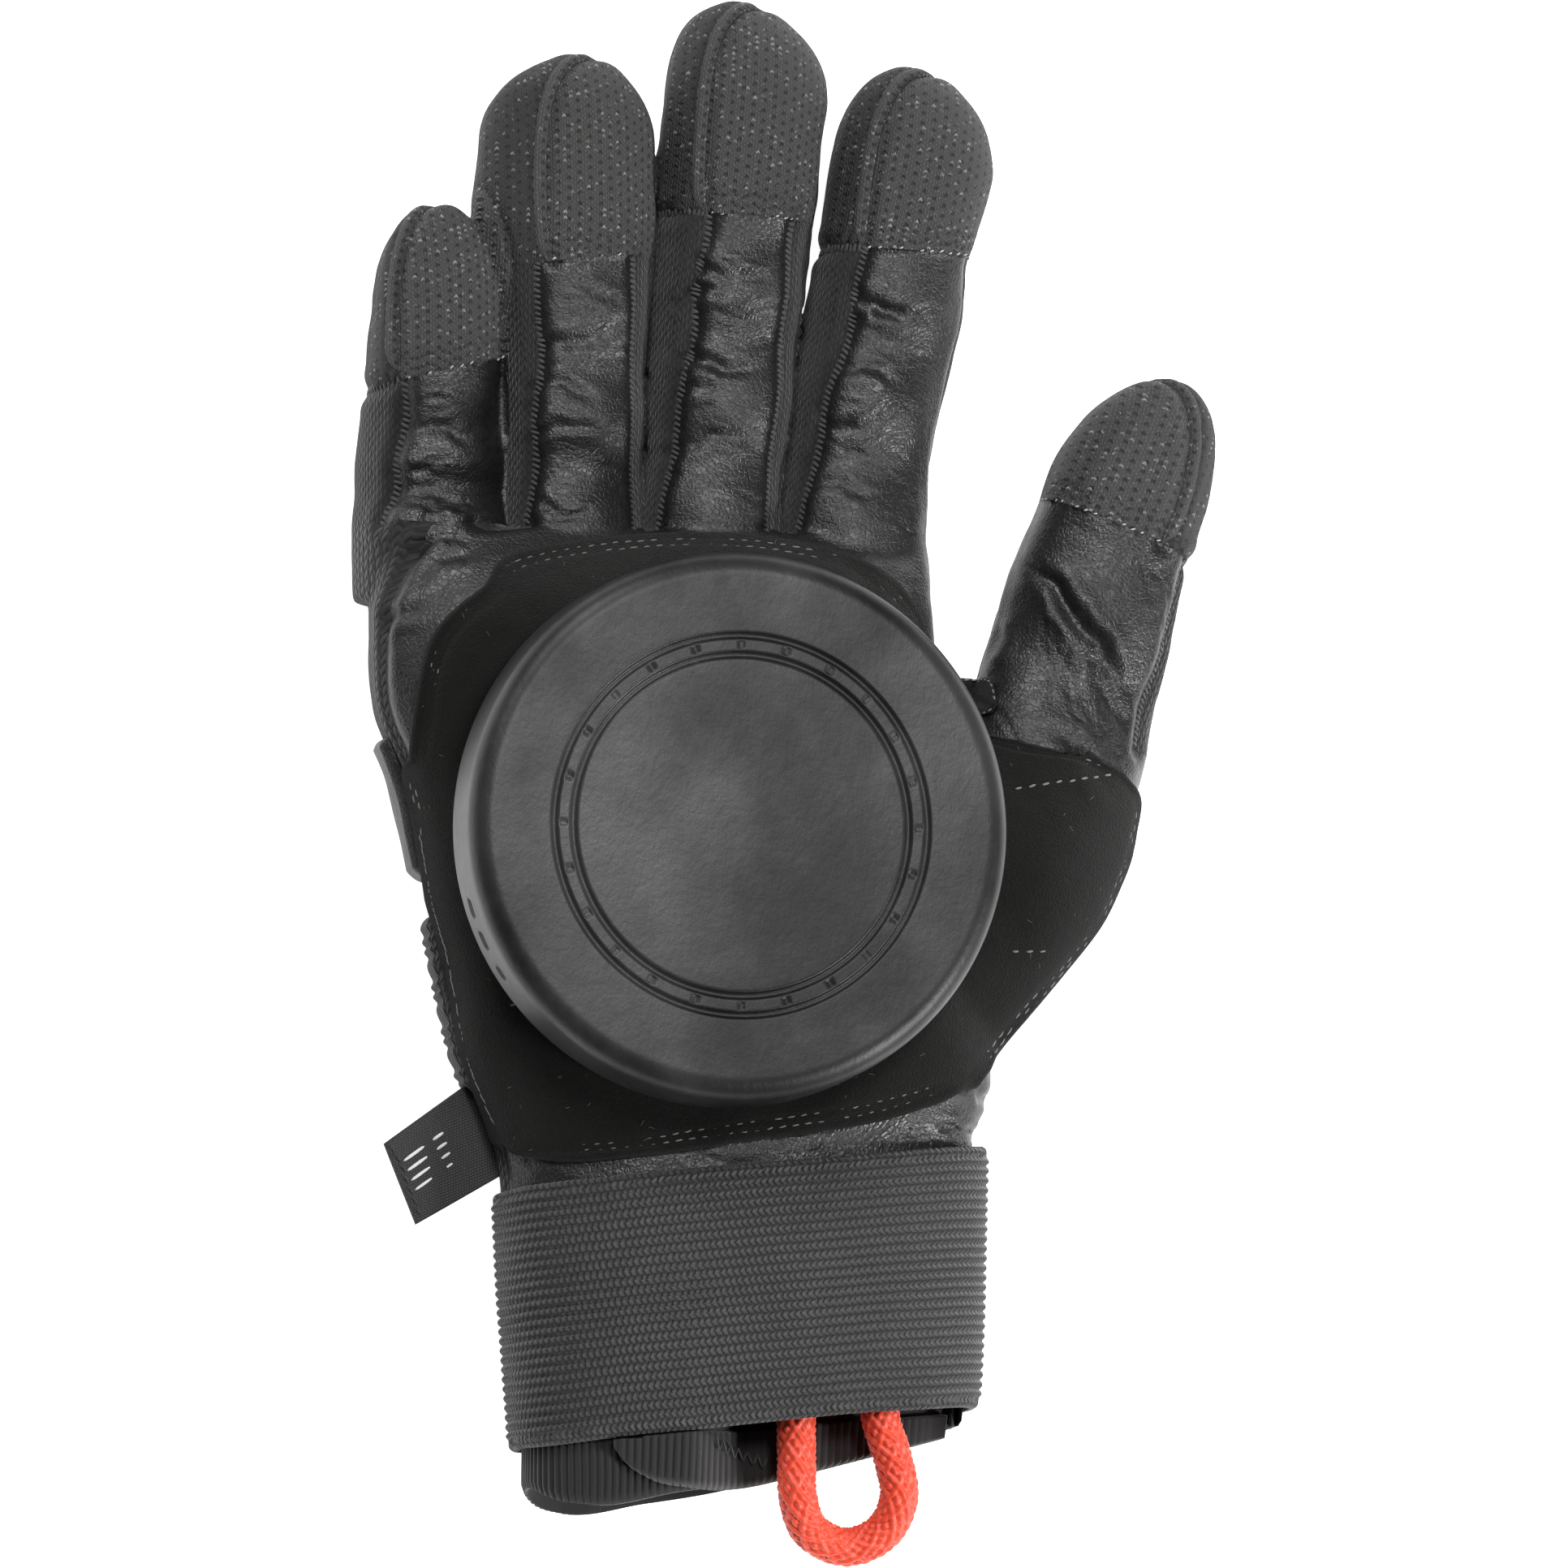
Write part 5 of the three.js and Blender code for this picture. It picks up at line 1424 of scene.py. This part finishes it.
strapSettings = {
    "width": 45.5, "thickness": 2.3, "slant": 6, "drop": 33,
    "ribs": 27, "ribHeight": 0.75, "selvedge": 2.4, "loopPitch": 1.1,
    "rows": 138, "insideRows": 12, "columns": 600, "seed": 4,
}


def makeStrap(settings):
    columns, rows = settings["columns"], settings["rows"]
    middleY = wristTable["y"] - settings["drop"]
    slope = math.tan(math.radians(settings["slant"]))
    turns, girth = evenTurns(columns, middleY, 1.5)
    points, uvs = [], []
    width, ribs = settings["width"], settings["ribs"]
    stations = [(v, True) for v in np.linspace(-width / 2, width / 2, rows)]
    stations += [(v, False) for v in np.linspace(width / 2, -width / 2, settings["insideRows"])]
    lot = np.random.default_rng(settings["seed"])
    sway = 0.5 * np.sin(turns * 3 + 1) + 0.3 * np.sin(turns * 7 + 2)
    phases = (np.arange(ribs + 2) % 2) * 0.5 + lot.uniform(-0.06, 0.06, ribs + 2)
    along = np.arange(columns) / columns * girth
    run = along / settings["loopPitch"]
    for v, outer in stations:
        y = np.full(columns, middleY + v)
        for _ in range(3):
            x = wristPoints(y, turns, 1)[:, 0]
            y = middleY + v / math.cos(math.radians(settings["slant"])) + (x - wristTable["x"]) * slope
            y = y + sway * 0.5 * v / width
        share = v / width + 0.5
        edge = min(v + width / 2, width / 2 - v)
        rib = share * ribs
        ridge = abs(math.sin(math.pi * rib)) ** 0.7
        inside = fade(edge, settings["selvedge"] * 0.6, settings["selvedge"] * 1.1)
        bead = 0.5 + 0.5 * np.cos(2 * math.pi * (run + phases[int(rib) % len(phases)]))
        ribShape = settings["ribHeight"] * (ridge * (0.72 + 0.28 * bead) - 0.35)
        edgeShape = 0.12 * np.cos(2 * math.pi * run * 0.8) - 0.1
        height = settings["thickness"] - 0.55 + inside * ribShape + (1 - inside) * edgeShape
        height = height * (0.55 + 0.45 * math.sqrt(min(1, edge / 0.8)))
        points.append(wristPoints(y, turns, 0.3 + (height if outer else 0)))
        uvs.append(np.stack([np.full(columns, v), along], axis=1))
    points, uvs = np.concatenate(points), np.concatenate(uvs)
    faces = gridFaces(len(stations), columns)
    last = (len(stations) - 1) * columns
    faces += [(last + a, last + b, b, a) for a, b in zip(range(columns), [*range(1, columns), 0])]
    lumps = noiseAt(points, 14, 12) * 0.45
    points[:, 2] = np.maximum(points[:, 2] + lumps * (points[:, 2] > 10), 0)
    dress(newObject("strapBand", points, faces, uvs), finishes["elastic"], "elastic", "strap")
    return middleY, slope


strapMiddleY, strapSlope = makeStrap(strapSettings)


def strapFootY(x):
    drop = strapSettings["width"] / 2 / math.cos(math.radians(strapSettings["slant"]))
    return strapMiddleY - drop + (x - wristTable["x"]) * strapSlope


cuffSettings = {
    "edge": [(-0.6, 0.1), (-0.5, 0.3), (-0.475, 0.5), (-0.435, 0.78), (-0.36, 0.98), (-0.165, 0.94),
             (-0.03, 0.88), (0.14, 0.72), (0.35, 0.5), (0.465, 0.27), (0.6, 0.1)],
    "reach": 11.2, "top": -84.5, "wall": 1.7, "measureY": -120,
    "ribPitch": 1.35, "ribHeight": 0.42, "rows": 32, "insideRows": 16, "columns": 900,
}
flapSettings = {
    "edge": [(-0.31, 0.1), (-0.285, 0.42), (-0.24, 0.7), (-0.14, 0.95), (0.0, 1.0), (0.13, 0.87),
             (0.25, 0.72), (0.38, 0.55), (0.45, 0.45)],
    "reach": 10.6, "thickness": 1.9, "measureY": -122,
    "ribPitch": 1.35, "ribHeight": 0.4, "rows": 30, "insideRows": 10, "columns": 500,
    "zigzag": ((-19.5, -119), (-8.7, -122.2)), "zigzags": 12, "zigzagHalf": 1.1,
}


def edgeY(settings, x):
    table = np.array(settings["edge"])
    share = np.clip((x - wristTable["x"]) / wristTable["width"], table[0, 0], table[-1, 0])
    return strapFootY(x) - through(table[:, 0], table[:, 1], share) * settings["reach"]


def thereAndBack(settings, first):  # shares down the outside of a cloth and back up its inside
    down = [(share, True) for share in np.linspace(first, 1, settings["rows"])]
    return down + [(share, False) for share in np.linspace(1, first, settings["insideRows"])]


def makeCuff(settings):
    columns = settings["columns"]
    turns, girth = evenTurns(columns, settings["measureY"], 0)
    ribs = round(girth / settings["ribPitch"])
    ridge = np.abs(np.sin(math.pi * np.arange(columns) / columns * ribs)) ** 0.8
    press = wristTable["press"]["depth"]
    points, uvs = [], []
    x = wristPoints(np.full(columns, float(settings["measureY"])), turns, 0)[:, 0]
    stations = thereAndBack(settings, 0)
    for share, outer in stations:
        y = settings["top"] + (edgeY(settings, x) - settings["top"]) * share
        roll = 0.5 * fade(share, 0.965, 1.0)
        height = settings["ribHeight"] * (ridge - 1) - roll if outer else -settings["wall"] + roll
        points.append(wristPoints(y, turns, height, press))
        uvs.append(np.stack([np.arange(columns) / columns * girth, y], axis=1))
    points, uvs = np.concatenate(points), np.concatenate(uvs)
    points += noiseAt(points, 11, 21)[:, None] * np.array([0.3, 0, 0.3]) * (points[:, 2:3] > 6)
    tube = newObject("cuffTube", points, gridFaces(len(stations), columns), uvs)
    dress(tube, finishes["ribKnit"], "rib_knit", "cuff")


def makeFlap(settings):
    columns, rows, measureY = settings["columns"], settings["rows"], float(settings["measureY"])
    press = wristTable["press"]["depth"]
    leftX, rightX = (wristTable["x"] + settings["edge"][end][0] * wristTable["width"] for end in (0, -1))
    fine = np.linspace(math.pi, 0, 3000)
    line = wristPoints(np.full(3000, measureY), fine, 1.5, press)
    inside = (line[:, 0] > leftX) & (line[:, 0] < rightX)
    turns = np.interp(np.linspace(0, 1, columns), np.linspace(0, 1, inside.sum()), fine[inside])
    x = wristPoints(np.full(columns, measureY), turns, 1.5, press)[:, 0]
    ridge = np.abs(np.sin(math.pi * (x - leftX) / settings["ribPitch"])) ** 0.8
    sideEdge = np.minimum(x - leftX, rightX - x)
    ribShape = settings["ribHeight"] * (ridge - 1) * fade(rightX - x, 2, 14)
    points, uvs = [], []
    stations = thereAndBack(settings, -0.5)
    for share, outer in stations:
        y = strapFootY(x) + (edgeY(settings, x) - strapFootY(x)) * share
        toEdge = np.minimum(sideEdge, (1 - share) * settings["reach"])
        plump = settings["thickness"] * np.sqrt(np.clip(toEdge / 1.3, 0.02, 1))
        height = 0.3 + (plump + ribShape if outer else 0)
        height = np.where(y > strapFootY(x) - 0.5, np.minimum(height, 0.2 if outer else -0.4), height)
        points.append(wristPoints(y, turns, height, press))
        uvs.append(np.stack([x, y], axis=1))
    points, uvs = np.concatenate(points), np.concatenate(uvs)
    points[:, 2] += noiseAt(points, 9, 25) * 0.3
    faces = gridFaces(len(stations), columns, closed=False)
    last = (len(stations) - 1) * columns
    faces += [(last + c, last + c + 1, c + 1, c) for c in range(columns - 1)]
    dress(newObject("cuffFlap", points, faces, uvs), finishes["ribKnit"], "rib_knit", "cuff_flap")
    makeZigzag(settings, points[:rows * columns])


def makeZigzag(settings, surface):  # the stitching that holds the flap beside the loop
    tree = makeTree(surface)
    count = settings["zigzags"]
    corners = []
    for i, flat in enumerate(np.linspace(*settings["zigzag"], count + 1)):
        flat = flat + np.array([0, settings["zigzagHalf"]]) * (-1) ** i
        z = max((surface[index][2] for _, index, _ in tree.find_range((*flat, 30), 14)
                 if np.hypot(*(surface[index][:2] - flat)) < 1.0), default=28)
        corners.append(np.array([*flat, z + 0.15]))
    stitches = []
    for start, end in zip(corners, corners[1:]):
        stitches.append(((start + end) / 2, end - start, upright, np.linalg.norm(end - start) * 0.95, 0.45))
    stitchMesh("flapZigzag", stitches, "darkStitch", "rib_knit")


liningSettings = {"columns": 80, "inset": -2.2, "wristRows": 14, "palmRows": 12}


def makeLining(settings):  # the dark inside of the hand, seen through the mouth
    columns, inset = settings["columns"], settings["inset"]
    turns = allRound(columns) - math.pi / 2
    press = wristTable["press"]["depth"]
    rings = [wristPoints(np.full(columns, y), turns, inset, press)
             for y in np.linspace(-124, -84, settings["wristRows"])]
    rings += [np.roll(palmSection(at, inset, columns), columns // 4, axis=0)
              for at in np.linspace(0.02, 0.9, settings["palmRows"])]
    points = np.concatenate(rings)
    wrist = points[:settings["wristRows"] * columns]
    wrist[:, 1] = np.maximum(wrist[:, 1], edgeY(cuffSettings, wrist[:, 0]) + 1)
    lining = newObject("innerLining", points, gridFaces(len(rings), columns), points[:, :2])
    dress(lining, finishes["lining"], "knit")


makeCuff(cuffSettings)
makeFlap(flapSettings)
makeLining(liningSettings)
say("strap and cuff")


# Tabs and side pieces
tabSettings = {
    "middle": (28.6, 14.4), "width": 8.4, "height": 7.4, "thickness": 1.5, "squareness": 4,
    "rings": 16, "columns": 96, "base": 12,
}


def makeThumbTab(settings):  # a small rounded sheet that lies on the hand
    columns, thickness = settings["columns"], settings["thickness"]
    across, up = rounded(allRound(24), settings["squareness"])
    x, y = settings["middle"]
    corners = [(x + settings["width"] / 2 * a, y + settings["height"] / 2 * b, 0) for a, b in zip(across, up)]
    outline = splinePoints(corners, columns + 1, closed=True)[:-1, :2]
    middle = outline.mean(axis=0)
    rings = []
    for share in np.linspace(0.05, 1, settings["rings"]):
        spots = middle + (outline - middle) * share
        z = np.array([dropOnBody(*spot, 0) or settings["base"] for spot in spots])
        rings.append(np.column_stack([spots, z + thickness * (1 - 0.35 * share ** 6)]))
    rim = rings[-1] - upright * thickness * 0.9
    swell = np.column_stack([(outline - middle) * 0.03, np.zeros(columns)])
    rings += [rim * 0.5 + rings[-1] * 0.5 + swell, rim]
    points = np.concatenate(rings)
    faces = gridFaces(len(rings), columns) + [tuple(range(columns))]
    dress(newObject("thumbTab", points, faces, points[:, :2]), finishes["suede"], "suede", "thumb_tab")
    edge = rings[settings["rings"] - 2]
    edge = np.vstack([edge, edge[:1]])
    stitches = dashesAlong(edge, np.tile(upright, (len(edge), 1)), 1.5, 1.0, 0.35, 31)
    stitchMesh("thumbTabStitches", stitches, "stitch", "suede")


sideTabSettings = {
    "corners": [(-0.758, 0.141), (-0.689, 0.029), (-0.475, 0.111), (-0.543, 0.243)],
    "squareness": 6, "rows": 40, "columns": 48,
    "swell": 0.12, "twist": 0.7, "foldedEdge": 0.72,
    "barsDown": (0.3, 0.42, 0.54, 0.66),
    "barsAcross": ((0.2, 4.6), (0.44, 2.4)),  # share of the tab's width, length in mm
    "barThickness": 0.6,
    "hemAt": 0.06,
}


def makeSideTab(settings):  # a folded woven label at the side of the wrist, with plain raised bars
    bottom, top = heightsOf("side_tab")
    outer, lower, innerLow, innerHigh = (
        np.array([wristTable["x"] + x * wristTable["width"], palmTable["y"] + y * palmTable["length"]])
        for x, y in settings["corners"])
    rows, columns = settings["rows"], settings["columns"]
    across, rise = rounded(allRound(rows), settings["squareness"])
    shares = 0.5 + 0.5 * across
    folded = settings["foldedEdge"]
    thick = folded + (1 - folded) * np.sin(math.pi / 2 * np.minimum(shares * 3, 1))
    rings = []
    for v in np.linspace(0, 1, columns):
        start, end = outer + (lower - outer) * v, innerHigh + (innerLow - innerHigh) * v
        swell = 1 + settings["swell"] * math.sin(math.pi * v) * (1 - shares)
        z = (bottom + top) / 2 + (top - bottom) / 2 * rise * swell * thick
        z += settings["twist"] * np.sin(shares * math.pi) * (v - 0.5)
        rings.append(np.column_stack([start + (end - start) * shares[:, None], z]))
    points = np.concatenate(rings)
    faces = gridFaces(columns, rows) + endFaces(columns, rows)
    weave = np.array([(0.55, 0.83), (0.83, -0.55)])  # the directions of the tab's threads
    uvs = points[:, :2] @ weave.T
    dress(newObject("sideTab", points, faces, uvs), finishes["woven"], "woven", "side_tab")
    along, down = innerHigh - outer, lower - outer
    bars = []
    for v in settings["barsDown"]:
        for share, size in settings["barsAcross"]:
            place = np.array([*(outer + down * v + along * share), top + 0.05])
            bars.append((place, np.array([*along, 0]), upright, size, settings["barThickness"]))
    stitchMesh("tabBars", bars, "bars", "woven")
    hemStart = outer + along * settings["hemAt"]
    line = np.array([[*(hemStart + down * v), top + 0.12] for v in np.linspace(0.04, 0.96, 12)])
    hem = dashesAlong(line, np.tile(upright, (len(line), 1)), 1.6, 1.05, 0.35, 55)
    stitchMesh("tabHem", hem, "darkStitch", "woven")


sideGrid = {"rows": 150, "columns": 70, "insideColumns": 8, "pitch": 2.6}
sideSettings = {  # top and bottom are shares of the palm's length; the rest is in mm
    "knuckle_pad": {**sideGrid, "top": 0.706, "bottom": 0.512, "thick": 2.2, "ripple": 0.0},
    "wrist_gather": {**sideGrid, "top": 0.46, "bottom": 0.214, "thick": 2.3, "ripple": 0.5},
}


def makeSidePiece(node, settings, finish, slotName):
    rows, columns = settings["rows"], settings["columns"]
    bottom, top = heightsOf(node)
    bottom, top = bottom + 0.1, top - 0.1
    inside = np.linspace(top, bottom, settings["insideColumns"])
    heights = np.concatenate([np.linspace(bottom, top, columns), inside])
    across, rise = rounded(np.linspace(math.pi / 2, 1.5 * math.pi, 600), palmTable["rounding"])
    points, uvs = [], []
    for share in np.arange(rows) / (rows - 1):
        at = settings["bottom"] + (settings["top"] - settings["bottom"]) * share
        y = palmTable["y"] + at * palmTable["length"]
        edge = math.sqrt(min(1, min(share, 1 - share) * 14 + 0.03))
        wave = 0.5 + 0.5 * math.cos(2 * math.pi * (y + 0.7 * math.sin(y * 0.8)) / settings["pitch"])
        thick = (settings["thick"] - settings["ripple"] * wave) * edge
        for i, height in enumerate(heights):
            rim = math.sqrt(min(1, min(height - bottom, top - height) / 1.4 + 0.03))
            x, z = sectionOf(palmTable, at, across, rise, 0.3 + (thick * rim if i < columns else 0))
            points.append((np.interp(-height, -z, x), y, height))
            uvs.append((height, y))
    points = np.array(points)
    points[:, 0] += noiseAt(points, 6, 33) * 0.25
    faces = gridFaces(rows, len(heights)) + endFaces(rows, len(heights))
    dress(newObject(node + "Cloth", points, faces, uvs), finishes[finish], slotName, node)


makeThumbTab(tabSettings)
makeSideTab(sideTabSettings)
makeSidePiece("knuckle_pad", sideSettings["knuckle_pad"], "smoothLeather", "smooth_leather")
makeSidePiece("wrist_gather", sideSettings["wrist_gather"], "knit", "knit")
say("tabs and side pieces")


# Floor, light and view
lightSettings = {
    "world": 0.1,
    "floorGlow": 0.95,
    "floorHalf": 6.0,
    "floorZ": -0.0003,  # a little below the glove's underside
    "softboxes": [  # place and size in metres, watts
        {"name": "key", "at": (0.12, 0.3, 1.25), "size": 0.3, "power": 9},
        {"name": "top", "at": (-0.45, 0.9, 0.9), "size": 0.45, "power": 10},
        {"name": "rim", "at": (0.8, -0.6, 0.7), "size": 0.22, "power": 14},
    ],
}


def makeStudio(settings):
    floorMesh = bpy.data.meshes.new("floor")
    half = settings["floorHalf"]
    corners = [(-half, -half, 0), (half, -half, 0), (half, half, 0), (-half, half, 0)]
    floorMesh.from_pydata(corners, [], [(0, 1, 2, 3)])
    floor = bpy.data.objects.new("floor", floorMesh)
    floor.location.z = settings["floorZ"]
    bpy.context.collection.objects.link(floor)
    paper = Finish("white paper", Roughness=0.9)
    faint = paper.noise(paper.place, 3.0)
    paper.colour(faint, 0.93, 0.95)
    paper.shader.inputs["Emission Color"].default_value = (1, 1, 1, 1)
    paper.shader.inputs["Emission Strength"].default_value = settings["floorGlow"]
    floorMesh.materials.append(paper.material)
    world = bpy.data.worlds.new("studio")
    world.use_nodes = True
    background = world.node_tree.nodes["Background"]
    background.inputs["Color"].default_value = (1, 1, 1, 1)
    background.inputs["Strength"].default_value = settings["world"]
    bpy.context.scene.world = world
    for box in settings["softboxes"]:
        light = bpy.data.lights.new(box["name"], "AREA")
        light.size, light.energy = box["size"], box["power"]
        lamp = bpy.data.objects.new(box["name"], light)
        lamp.location = box["at"]
        lamp.rotation_euler = Vector(box["at"]).to_track_quat("Z", "Y").to_euler()
        bpy.context.collection.objects.link(lamp)
    view = bpy.context.scene.view_settings
    view.view_transform, view.look = "Standard", "None"


makeStudio(lightSettings)
say("studio")
